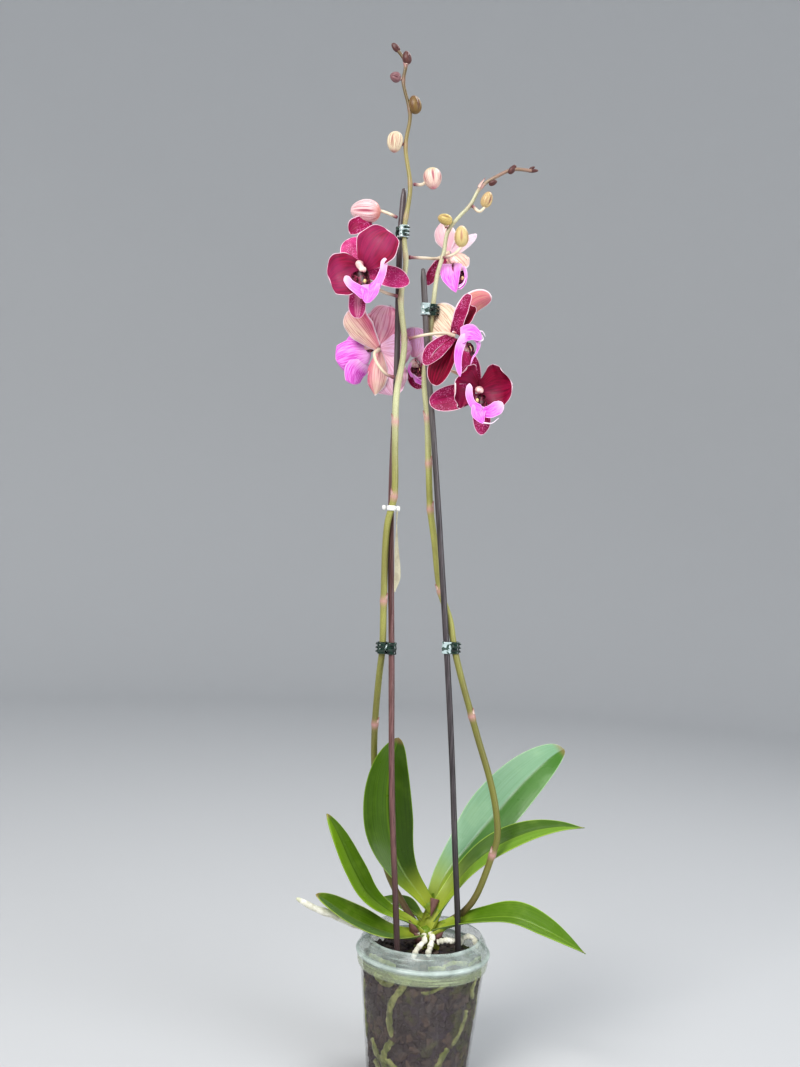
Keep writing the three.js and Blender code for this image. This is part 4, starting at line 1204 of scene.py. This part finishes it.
def throat_material():
    throat = Finish("dark throat", Roughness=0.4, Sheen_Weight=0.1)
    blot = throat.noise(330, 3)
    # The near-black of the throat is partly the lip's own deep red and partly painted shade of the hollow
    # under the column; the pale flecks are its own spots.
    colour = throat.mix(throat.between(blot, 0.45, 0.62), rgb(0.05, 0.001, 0.01), rgb(0.3, 0.03, 0.09))
    fleck = throat.between(throat.cells(420), 0.3, 0.16, 0.0, 0.5)
    throat.use("Base Color", throat.mix(fleck, colour, rgb(0.6, 0.25, 0.25)))
    return throat.material


def column_material():
    wax = Finish("waxy column", Roughness=0.35, Coat_Weight=0.25)
    tone = wax.noise(260, 3)
    colour = wax.mix(wax.between(tone, 0.4, 0.65), rgb(0.86, 0.52, 0.5), rgb(0.95, 0.78, 0.7))
    wax.use("Base Color",
            wax.mix(wax.between(wax.attribute("along"), 0.3, 0.0), colour, rgb(0.62, 0.16, 0.3)))
    return wax.material


# The third colour of each is the rose tint of its painted sheen.
petal_finish = tepal_material("wine petal", rgb(0.13, 0.0, 0.016), rgb(0.32, 0.0, 0.042),
                              rgb(0.44, 0.05, 0.2), False)
sepal_finish = tepal_material("speckled sepal", rgb(0.17, 0.0, 0.03), rgb(0.37, 0.003, 0.09),
                              rgb(0.62, 0.05, 0.24), True)
lip_finish = lip_material()
throat_finish = throat_material()
column_finish = column_material()
callus_finish = Finish("yellow callus", Roughness=0.4)
callus_finish.use("Base Color",
                  callus_finish.mix(callus_finish.noise(600, 2), rgb(0.8, 0.6, 0.16), rgb(0.9, 0.8, 0.5)))
tendril_finish = Finish("white tendril", Roughness=0.4)
tendril_finish.use(
    "Base Color", tendril_finish.mix(tendril_finish.noise(300, 2), rgb(0.82, 0.62, 0.8),
                                     rgb(0.95, 0.88, 0.93)))

def segment(tip, width, bow, cup, **more):
    """A sepal or petal: where its tip lies from the flower's heart, how wide it is, how far it bows
    towards its upper side, how far its sides roll up, and then its colours, outline and ruffle."""
    return {"tip": tip, "width": width, "bow": bow, "cup": cup} | more


FLOWERS = {
    "upper_left": {
        "at": (-85, -22, 712), "face": (-0.3, -0.93, 0.1), "glow": 0.5,
        "pedicel": [(-53, -12.6, 692.5), (-67, -14, 696), (-79, -15, 705)],
        "sepals": [
            segment((-14, 9, 29), 24, 2, 0.5, glow=1.5),
            segment((42, 1, -9), 21, 2, 0.7, glow=0.8),
            segment((-2, 4, -42), 18, 3, 0.6, glow=1.0, white=0.9, form=(0.7, 0.7, 0.5)),
        ],
        "petals": [
            segment((22, -5, 34), 43, 5, 0.55, ruffle=1.4, skew=0.15),
            segment((-28, 1, -11), 44, 4, 0.6, ruffle=1.4, skew=-0.1, form=(0.5, 0.5)),
        ],
        "arms": [
            ([(-14, -13, -9), (-9, -15, -16), (-2, -17, -21), (6, -18, -26)], (3.0, 3.8, 4.6, 6.0)),
            ([(19.5, -15, 8), (19, -17, -3), (16, -18, -13), (9, -19, -23)], (3.2, 3.4, 4.2, 6.5)),
        ],
        "lobe": ([(10, -16, -16), (9, -20, -25), (5, -21, -33)], (9.5, 9.0, 3.5)),
        "throat": ([(-2, -6, -2), (2, -8, -11), (5, -14, -22)], (11, 12, 10)),
        "column": [(-1, -2, 5), (-3, -9, 3), (1, -14, -3)],
        "callus": (3.5, -15, -13),
    },
    "lower_left": {
        "at": (-69, 4, 647), "face": (-0.7, 0.7, 0), "glow": 0.4,
        "pedicel": [(-52.5, -17, 620), (-60, -17, 623), (-68, -16, 632), (-71, -9, 641)],
        "sepals": [
            segment((-29, 2, 33), 29, -4, 0.7, face=(0.25, 0.9, 0.3), flush=0.95, lean=-1, cream=0.45,
                    form=(0.3, 0.72, 0.45), ruffle=1.5),
            segment((31, 6, 4), 36, -3, 0.5, face=(-0.3, 0.9, 0.1), white=0.35, lilac=0.75),
            segment((0, 4, -41), 26, -4, 1.1, face=(0.35, 0.9, -0.2), flush=1.0, lean=-1, cream=0.4,
                    form=(0.35, 0.55, 0.9), ruffle=1.5),
        ],
        "petals": [
            segment((8, 6, 41), 40, -4, 0.45, face=(0, 0.97, -0.2), ruffle=3.0, waves=3.5, flush=0.6,
                    lean=-1, lilac=0.35),
            segment((18, 8, -39), 38, -3, 0.4, face=(0, 0.97, 0.2), ruffle=3.0, waves=4, white=0.35,
                    lilac=0.45),
        ],
        "arms": [
            ([(-11, 15, -8), (-19, 18, -18), (-21, 19, -30)], (9, 11, 7)),
            ([(-8, 14, 4), (-20, 18, 10), (-29, 20, 11)], (6, 8, 5)),
        ],
        "lobe": ([(-6, 11, 0), (-20, 15, -2), (-38, 19, -8)], (9, 17, 13)),
        "lobe_face": (-0.35, 0.85, -0.1),
        "throat": ([(-2, 7, 2), (-7, 11, 4), (-12, 15, 5)], (5, 6, 4)),
        "column": [(-2, 5, 3), (-6, 8, 4), (-9, 12, 3)],
        "callus": (-12, 22, -6),
    },
    "centre_back": {
        "at": (-35, 20, 642), "face": (-0.35, -0.55, -0.75), "glow": 0.2,
        "pedicel": [(-26.5, 7.5, 622), (-28, 16, 624), (-32, 24, 634)],
        "sepals": [
            segment((9, 8, 28), 20, 2, 0.5, face=(0.3, 0.8, -0.5), lilac=1.0, white=0.3),
            segment((6, -2, -27), 20, 2, 0.5, face=(0, -0.8, -0.5), glow=0),
            segment((17, 4, -21), 15, 2, 0.6, face=(0.2, 0.6, -0.7), coral=0.9),
        ],
        "petals": [
            segment((-2, -6, 29), 30, 2, 0.3, face=(0.4, 0.9, -0.4), lilac=1.0, white=0.3),
            segment((27, -5, 10), 43, -3, 0.6, face=(-0.1, 0.9, -0.3), lilac=1.0, white=0.6),
        ],
        "arms": [
            ([(-2, -12, -14), (5, -15, -19), (13, -15, -14), (17, -13, -3)], (1.8, 2.4, 2.2, 1.0)),
            ([(-3, -11, -4), (-4, -13, -12), (0, -15, -18)], (1.6, 2.0, 1.6)),
        ],
        "lobe": ([(0, -12, -16), (4, -15, -20), (10, -15, -23)], (3, 4, 2)),
        "throat": ([(2, -6, 0), (6, -9, -8), (8, -12, -16)], (8, 10, 7)),
        "column": [(0, -1, -1), (-1, -4, -4), (2, -7, -6)],
        "callus": (6, -13, -10),
    },
    "upper_right": {
        "at": (-8, 16, 739), "face": (0.35, -0.45, -0.8), "glow": 0.3,
        "pedicel": [(-44.3, -8, 728.5), (-31, 2, 731), (-18, 12, 734)],
        "sepals": [
            segment((6, 8, 22), 15, -2, 0.6, face=(0, 0.9, -0.3), white=0.6),
            segment((16, -6, -13), 27, -3, 0.8, face=(0.1, 0.75, -0.6), cream=0.5, form=(0.75, 0.5, 0.5)),
            segment((-19, -2, -30), 14, 2, 0.7, face=(-0.4, -0.85, -0.2), glow=0),
        ],
        "petals": [
            segment((-9, 2, 29), 22, -2, 0.7, face=(0.2, 0.9, 0.1), white=0.5),
            segment((24, 6, 21), 12, -2, 0.7, face=(-0.4, 0.9, -0.4), white=0.8, form=(0.5, 0.35)),
        ],
        "arms": [
            ([(12, -9, -12), (15, -13, -20), (14, -15, -29), (8, -16, -35)], (2.2, 1.5, 1.4, 2.6)),
            ([(-6, -9, -13), (-6, -12, -24), (2, -15, -32)], (1.0, 0.8, 0.8)),
        ],
        "lobe": ([(2, -9, -11), (2, -13, -22), (7, -16, -38)], (12, 9.5, 1.5)),
        "lobe_face": (-0.2, -0.95, -0.1),
        "throat": ([(5, -3, -9), (5, -3, -18), (6, -5, -29)], (11, 12, 8)),
        "column": [(0, -2, -2), (2, -6, -6), (4, -9, -9)],
        "callus": (12, -13, -24),
        "tendrils": [[(9, -17, -34), (13, -17, -30), (15, -16, -24)]],
    },
    "middle_right": {
        "at": (1, -18, 659), "face": (0.8, -0.55, -0.15), "glow": 0.3,
        "pedicel": [(-41, -16.5, 655), (-26, -17, 659), (-10, -18, 661)],
        "sepals": [
            segment((-23, 25, 30), 32, 2, 0.4, face=(0.1, 0.95, 0.1), cream=1.0, form=(0.5, 0.6, 0.45)),
            segment((9, -9, 36), 13, 3, 0.6, face=(-0.35, -0.9, 0.1), glow=0.3, form=(0.8, 0.5, 0.4)),
            segment((-28, -3, -27), 20, 3, 0.9, face=(0.1, -0.85, 0.5), glow=0.3),
        ],
        "petals": [
            segment((29, 2, 37), 24, 3, 0.9, face=(-0.3, 0.85, 0.4), coral=0.6, bend=(-4, 1, 5),
                    form=(0.45, 0.6)),
            segment((-18, 2, -44), 25, 3, 0.9, face=(-0.2, -0.95, 0.1), glow=-0.3),
            segment((13, 3, 28), 20, 3, 0.7, face=(-0.4, -0.9, 0.1), glow=-0.4),
        ],
        "arms": [
            ([(8, -15, 0), (2.5, -18, -11), (1, -18, -24), (4, -17, -38)], (4.0, 4.2, 3.6, 1.6)),
            ([(13, -15, -2), (18, -16, -8), (17.5, -15, -15), (14, -15, -21), (12.5, -14, -27)],
             (3.0, 2.4, 1.2, 0.8, 0.4)),
        ],
        "lobe": ([(3, -13, -3), (11, -18, -1), (21, -18, -5)], (8, 9.5, 2)),
        "lobe_face": (0.2, -0.9, 0.3),
        "throat": ([(8, -10, -7), (11, -12, -13), (13, -12, -19)], (4, 5, 3)),
        "column": [(4, -3, -6), (8, -8, -10), (10, -11, -13)],
        "callus": (11, -13.5, -12),
        "tendrils": [[(15, -17, 2), (21, -18, 2), (24, -17, -2)],
                     [(18, -18, -7), (22, -18, -5), (21, -18, -1)]],
    },
    "lower_right": {
        "at": (22, -14, 612), "face": (0.15, -0.97, -0.1), "glow": 0.3,
        "pedicel": [(-21, 5, 634), (-8, 2, 633), (8, -4, 626)],
        "sepals": [
            segment((-14, 6, 37), 19, 2, 0.5),
            segment((-42, 3, -12), 25, 2, 0.75, glow=0.3, form=(0.6, 0.5, 0.5)),
            segment((6, 4, -38), 18, 4, 0.7),
        ],
        "petals": [
            segment((-21, -13, 6), 44, -5, 0.6, face=(0.35, -0.93, -0.1), ruffle=1.3, waves=3.5,
                    form=(0.5, 0.45)),
            segment((29, -15, 5), 46, -5, 0.7, face=(-0.3, -0.95, -0.1), ruffle=1.5, waves=3.5,
                    form=(0.35, 0.5)),
        ],
        "arms": [
            ([(-8.5, -19, 4), (-8.5, -20, -6), (-5, -21, -14), (3, -23, -19)], (2.6, 3.4, 3.4, 4.4)),
            ([(21, -19, -11), (16, -21, -16), (9, -23, -20), (3, -23, -20)], (3.0, 6.5, 6.0, 4.0)),
        ],
        "lobe": ([(0, -20, -15), (0, -23, -22), (5, -25, -31)], (7, 7, 1.2)),
        "throat": ([(0, -8, -4), (1, -10, -13), (4, -17, -20)], (8, 10, 8)),
        "column": [(2, -3, 2), (0, -10, 0), (1, -14, -1)],
        "callus": (-1, -17, -10),
        "tendrils": [[(5, -25, -30), (12, -25, -30), (18, -24, -25)]],
    },
}


def tagged(part, flower, **values):
    """Adds the attributes that colour one organ differently from the next."""
    count = len(part["verts"])
    for key in ("glow", "flush", "cream", "coral", "lilac", "white"):
        value = values.get(key, 0.0)
        part["spots"][key] = np.broadcast_to(np.asarray(value, float), count).copy()
    part["spots"]["flower"] = np.full(count, float(flower))
    return part


def tepal(flower, organ, shape, index, number, seat):
    at = np.array(flower["at"], float)
    tip = np.array(organ["tip"], float)
    face = unit(organ.get("face", flower["face"]))
    start = unit(tip) * 2.0 - unit(flower["face"]) * seat
    bow = face * organ["bow"] + np.array(organ.get("bend", (0, 0, 0)), float)
    path = [at + start, at + start + (tip - start) * 0.33 + bow * 0.85,
            at + start + (tip - start) * 0.68 + bow * 0.9, at + tip]
    outline = shape(organ["width"], *organ.get("form", ()))
    part = sheet(path, outline, face, cup=organ["cup"], thickness=0.9, rows=34, columns=23,
                 ruffle=organ.get("ruffle", 0.5), waves=organ.get("waves", 2.5), phase=2.1 * index + number,
                 groove=0.7, skew=organ.get("skew", 0.0))
    glow = organ.get("glow", flower["glow"])
    tints = {key: organ.get(key, 0.0) for key in ("cream", "coral", "lilac", "white")}
    across = part["spots"]["across"]
    reach = across * organ["lean"] if "lean" in organ else np.abs(across)
    low = -0.2 if "lean" in organ else 0.4
    tints["flush"] = organ.get("flush", 0.0) * smoothstep(reach, low, 0.95)
    return tagged(part, number, glow=glow, **tints)


def ribbon(flower, path, halves, face, number, finish, thickness, cup, white=0.0, rows=24):
    """A lip part: a rounded ribbon whose half-width follows a short list."""
    at = np.array(flower["at"], float)
    steps = np.linspace(0, 1, len(halves))

    def half(t):
        ends = min(1.0, math.sqrt(max(min(t, 1 - t), 0) * 9 + 0.02))
        return float(np.interp(t, steps, halves)) * ends

    part = sheet(at + np.array(path, float), half, face, cup=cup, thickness=thickness, rows=rows,
                 columns=13, ruffle=0.35, waves=2.0, phase=number, finish=finish)
    fade = np.clip(1 - part["spots"]["along"] / 0.45, 0, 1) * white
    return tagged(part, number, white=fade)


def ball(centre, radii, finish, number):
    """A small rounded lump."""
    rows = 9
    angles = np.linspace(-math.pi / 2, math.pi / 2, rows)
    path = [(centre[0], centre[1], centre[2] + radii[2] * math.sin(a)) for a in angles]
    part = stem(path, [max(math.cos(a), 0.08) for a in angles], 12, finish)
    offset = part["verts"] - np.asarray(centre, float)
    part["verts"] = np.asarray(centre, float) + offset * (radii[0], radii[1], 1)
    return tagged(part, number)


def add_flower(number, name, flower):
    at = np.array(flower["at"], float)
    face = unit(flower["face"])
    sepals = [tepal(flower, organ, sepal_shape, i, number, 1.8) for i, organ in enumerate(flower["sepals"])]
    petals = [tepal(flower, organ, petal_shape, i, number, 0.6) for i, organ in enumerate(flower["petals"])]
    route = flower["pedicel"] + [tuple(at - face * 2.2)]
    add_parts(f"flower_{name}_sepals", sepals, [sepal_finish], [f"flower_{name}_sepals"])
    add_parts(f"flower_{name}_petals", petals, [petal_finish], [f"flower_{name}_petals"])
    add_pedicel(f"pedicel_{name}", route, 1.35, 1.9)
    core = at + np.array(flower["column"], float)
    path = curve_through(core, 12)
    trunk = stem(path, 2.1 + 0.9 * np.sin(np.linspace(0.3, math.pi - 0.5, 12)), 14)
    cap = [ball(core[-1] + shift, (2.1, 2.3, 2.5), 0, number) for shift in ((-1.3, 0, 0.4), (1.3, -0.3, 0))]
    add_parts(f"flower_{name}_column", [tagged(trunk, number)] + cap, [column_finish],
              [f"flower_{name}_column"])
    lobe_face = flower.get("lobe_face", flower["face"])
    lip = [ribbon(flower, *flower["throat"], flower["face"], number, 1, 0.9, 1.5, rows=20)]
    lip += [ribbon(flower, *arm, lobe_face, number, 0, 1.3, 0.5, white=0.85) for arm in flower["arms"]]
    lip.append(ribbon(flower, *flower["lobe"], lobe_face, number, 0, 1.1, 0.75, white=0.6))
    lip.append(ball(at + flower["callus"], (1.5, 1.6, 1.9), 2, number))
    for tendril in flower.get("tendrils", []):
        path = curve_through(at + np.array(tendril, float), 16)
        lip.append(tagged(stem(path, np.linspace(0.75, 0.25, 16), 8, 3), number, white=1.0))
    finishes = [lip_finish, throat_finish, callus_finish.material, tendril_finish.material]
    add_parts(f"flower_{name}_lip", lip, finishes, [f"flower_{name}_lip"])


def pedicel_material():
    pale = Finish("pedicel", Roughness=0.45)
    tone = pale.noise(240, 3)
    colour = pale.mix(tone, rgb(0.62, 0.56, 0.34), rgb(0.84, 0.68, 0.6))
    base = pale.between(pale.attribute("along"), 0.3, 0.02)
    return pale.use("Base Color", pale.mix(base, colour, rgb(0.22, 0.07, 0.09))).material


pedicel_finish = pedicel_material()


def add_pedicel(name, route, thin, wide):
    path = curve_through(route, 40)
    t = np.linspace(0, 1, 40)
    radii = thin + (wide - thin) * smoothstep(t, 0.6, 1.0) + 0.5 * np.exp(-((t / 0.05) ** 2))
    return add_parts(name, [stem(path, radii, 12)], [pedicel_finish], [])


for number, (flower_name, flower) in enumerate(FLOWERS.items()):
    add_flower(number, flower_name, flower)


# ---- buds ----
# Closed buds on short pedicels, smaller and darker towards the tips of the spikes. Three
# sepals meet in fine grooves, and the largest bud has begun to open and shows its dark inside.
BUDS = {
    "bud_opening": ([(-57.2, -9.5, 763), (-66, -7, 767), (-73, -6, 769)], (-72, -6, 768),
                    (-99, -6, 768), 10.5,
                    (rgb(0.88, 0.62, 0.62), rgb(0.42, 0.09, 0.14), rgb(0.8, 0.5, 0.54),
                     rgb(0.66, 0.2, 0.15))),
    "bud_left_1": ([(-55.2, -6.5, 829), (-61, -7, 831)], (-62, -6, 840), (-63, -8, 821), 7.2,
                   (rgb(0.8, 0.68, 0.48), rgb(0.36, 0.13, 0.1), rgb(0.34, 0.06, 0.11))),
    "bud_left_2": ([(-44, -9.5, 793), (-36, -8, 794)], (-29, -6, 809), (-26, -10, 790), 8.2,
                   (rgb(0.82, 0.62, 0.52), rgb(0.36, 0.07, 0.11), rgb(0.62, 0.14, 0.24),
                    rgb(0.62, 0.56, 0.24))),
    "bud_left_3": ([(-49, -5, 862), (-46, -6, 863)], (-45, -6, 857), (-48.5, -6, 873), 6,
                   (rgb(0.2, 0.12, 0.035), rgb(0.09, 0.02, 0.02), rgb(0.2, 0.06, 0.05))),
    "bud_left_4": ([(-60, -3, 888), (-62, -4, 889)], (-60.4, -4, 888), (-70, -4, 891), 4.6,
                   (rgb(0.28, 0.14, 0.15), rgb(0.09, 0.02, 0.03), rgb(0.08, 0.016, 0.024))),
    "bud_right_1": ([(-12.6, -1.8, 758), (-14, -3, 762)], (-8, -4, 763), (-21, -4, 767), 5,
                    (rgb(0.6, 0.47, 0.17), rgb(0.26, 0.12, 0.05), rgb(0.62, 0.44, 0.36))),
    "bud_right_2": ([(-14, -1.6, 731), (-4, -4, 735), (2, -4, 743)], (1.5, -4, 741), (0.5, -5, 760), 6.4,
                    (rgb(0.66, 0.54, 0.24), rgb(0.42, 0.2, 0.12), rgb(0.84, 0.56, 0.6))),
    "bud_right_3": ([(9.5, -4.4, 778), (15.6, -6, 773), (20, -6, 777)], (19.5, -6, 777), (24, -6, 791), 5.2,
                    (rgb(0.66, 0.5, 0.24), rgb(0.26, 0.08, 0.07), rgb(0.5, 0.24, 0.16))),
}
TIP_BUDS = {
    "left": [((-55, -2, 902), (-57, -2, 914), 4.2), ((-63, 0, 914), (-70, 0, 921), 3.0)],
    "right": [((40, -6, 808), (46, -6, 816), 2.8), ((56, -7, 811), (66, -8, 811.5), 1.8),
              ((23, -4, 798), (30, -6, 801), 2.4),
              ((58, -6, 813), (63, -7, 815), 1.2)],
}


def bud_material(name, skin, stripe, tip, base=None):
    bud = Finish(name, Roughness=0.42, Sheen_Weight=0.1)
    along = bud.attribute("along")
    vein = bud.attribute("seam")
    line = bud.between(streaks(bud, 2.6, 0.4, 3.0), 0.5, 0.58)
    colour = bud.mix(line, skin, bud.mix(0.75, skin, stripe))
    # Darker along the seams where the sepals meet: painted shade in the grooves.
    colour = bud.mix(bud.between(vein, 0.35, 0.9), colour, stripe)
    colour = bud.mix(bud.between(along, 0.72, 1.0, 0.0, 0.7), colour, tip)
    colour = bud.mix(bud.between(along, 0.42, 0.12, 0.0, 0.8), colour, base or skin)
    bud.use("Base Color", colour)
    bud.bump(line, 0.2, 0.0004)
    return bud.material


# How far each bud in turn is rolled on its own axis, so that its grooves show differently.
BUD_TURNS = (12, -25, 4, 80)


def bud_egg(base, tip, radius, number):
    """An egg from base to tip with three grooves where its sepals meet."""
    rows, sides = 22, 36
    base, tip = np.asarray(base, float), np.asarray(tip, float)
    axis = tip - base
    t = (1 - np.cos(np.linspace(0.02, math.pi - 0.02, rows))) / 2
    verts, faces, along = stalk(base + np.outer(t, axis), np.ones(rows), sides, np.array((0.0, -1, 0)))
    bulge = np.sqrt(np.clip(1 - (2 * t - 1) ** 2, 0, 1)) * (1 + 0.26 * (0.5 - t))
    angles = np.arange(sides) * 2 * math.pi / sides
    gap = np.abs((angles[None, :] + math.radians(BUD_TURNS[number % 4])) * 3 / (2 * math.pi) % 1 - 0.5) * 2
    seam = np.exp(-(((1 - gap) / 0.17) ** 2)) * np.sin(math.pi * t)[:, None] ** 0.7
    scale = radius * bulge[:, None] * (1 - 0.13 * seam)
    centres = np.repeat(base + np.outer(t, axis), sides, axis=0)
    body = verts[:-2]
    verts[:-2] = centres + (body - centres) * scale.reshape(-1, 1)
    verts[-2], verts[-1] = base, tip
    part = tagged(rimless(verts, faces, along, 0), number)
    part["spots"]["across"] = np.concatenate([np.tile(np.cos(angles * 3), rows), [0, 0]])
    part["spots"]["seam"] = np.concatenate([seam.ravel(), [0, 0]])
    return part


def seamless(part, finish):
    part["spots"]["seam"] = np.zeros(len(part["verts"]))
    part["finish"] = finish
    return part


def add_bud(number, name, route, base, tip, radius, tones):
    stalk_path = curve_through(route + [tuple(0.75 * np.array(base, float) + 0.25 * np.array(tip,
        float))], 24)
    shaft = seamless(tagged(stem(stalk_path, np.linspace(1.5, 1.25, 24)), number), 1)
    parts = [bud_egg(base, tip, radius, number), shaft]
    finishes = [bud_material(name.replace("_", " "), *tones), pedicel_finish]
    if name == "bud_opening":
        inner = segment((-22, -3, -10), 19, 4, 0.8, face=(0, -0.9, 0.35))
        host = {"at": (-77, -7, 757), "face": (-0.4, -0.9, 0), "glow": 0.1}
        parts.append(seamless(tepal(host, inner, sepal_shape, 0, number, 0), 2))
        finishes.append(sepal_finish)
    add_parts(name, parts, finishes, [name])


for number, (bud_name, (route, base, tip, radius, tones)) in enumerate(BUDS.items()):
    add_bud(number, bud_name, route, base, tip, radius, tones)
tip_finish = bud_material("tip buds", rgb(0.12, 0.042, 0.036), rgb(0.06, 0.014, 0.018), rgb(0.24, 0.13, 0.09))
for side, eggs in TIP_BUDS.items():
    add_parts(f"tip_buds_{side}", [bud_egg(*egg, 3 + k) for k, egg in enumerate(eggs)], [tip_finish],
              [])


# ---- floor and light ----
# A plain grey studio bowl, the same from every side: a round floor that curves up into a
# wall a few metres off. Soft lights stand inside it, and pale daylight falls in from above.
FLOOR_RADIUS = 2.2
WALL_RADIUS = 3.2
WALL_TOP = 2.6


def sweep():
    turn = WALL_RADIUS - FLOOR_RADIUS
    profile = [(0.6, 0.0), (1.4, 0.0), (FLOOR_RADIUS, 0.0)]
    for step in range(1, 16):
        angle = math.pi / 2 * step / 16
        profile.append((FLOOR_RADIUS + turn * math.sin(angle), turn * (1 - math.cos(angle))))
    profile += [(WALL_RADIUS, turn), (WALL_RADIUS, WALL_TOP)]
    sides = 96
    verts = turned(profile, sides)
    faces = grid_faces(len(profile), sides, wrap=True, flip=True)
    faces += [[k, (k + 1) % sides, len(verts)] for k in range(sides)]
    verts.append((0, 0, 0))
    mesh = bpy.data.meshes.new("floor")
    mesh.from_pydata(verts, [], faces)
    mesh.polygons.foreach_set("use_smooth", [True] * len(faces))
    paper = Finish("studio paper", Roughness=0.9)
    paper.use("Base Color", rgb(0.56, 0.565, 0.57))
    mesh.materials.append(paper.material)
    add_object("floor", mesh)


def soft_light(name, place, target, size, power, colour=(1, 1, 1)):
    lamp = bpy.data.lights.new(name, "AREA")
    lamp.shape = "DISK"
    lamp.size = size
    lamp.energy = power
    lamp.color = colour
    holder = add_object(name, lamp)
    holder.location = place
    aim = Vector(target) - Vector(place)
    holder.rotation_mode = "QUATERNION"
    holder.rotation_quaternion = aim.to_track_quat("-Z", "Y")


sweep()
soft_light("key light", (-0.95, -1.5, 1.8), (0, 0, 0.45), 1.3, 40, (1.0, 0.98, 0.95))
soft_light("fill light", (1.6, -1.2, 0.9), (0, 0, 0.4), 1.4, 20, (0.95, 0.97, 1.0))
soft_light("back light", (0.7, 0.6, 1.9), (0, 0, 0.6), 0.8, 10)
world = bpy.data.worlds.new("studio")
bpy.context.scene.world = world
world.use_nodes = True
sky = world.node_tree.nodes["Background"].inputs
sky["Color"].default_value = rgb(0.86, 0.92, 1.0)
sky["Strength"].default_value = 0.5
bpy.context.scene.view_settings.view_transform = "Standard"
bpy.context.scene.view_settings.look = "Medium High Contrast"
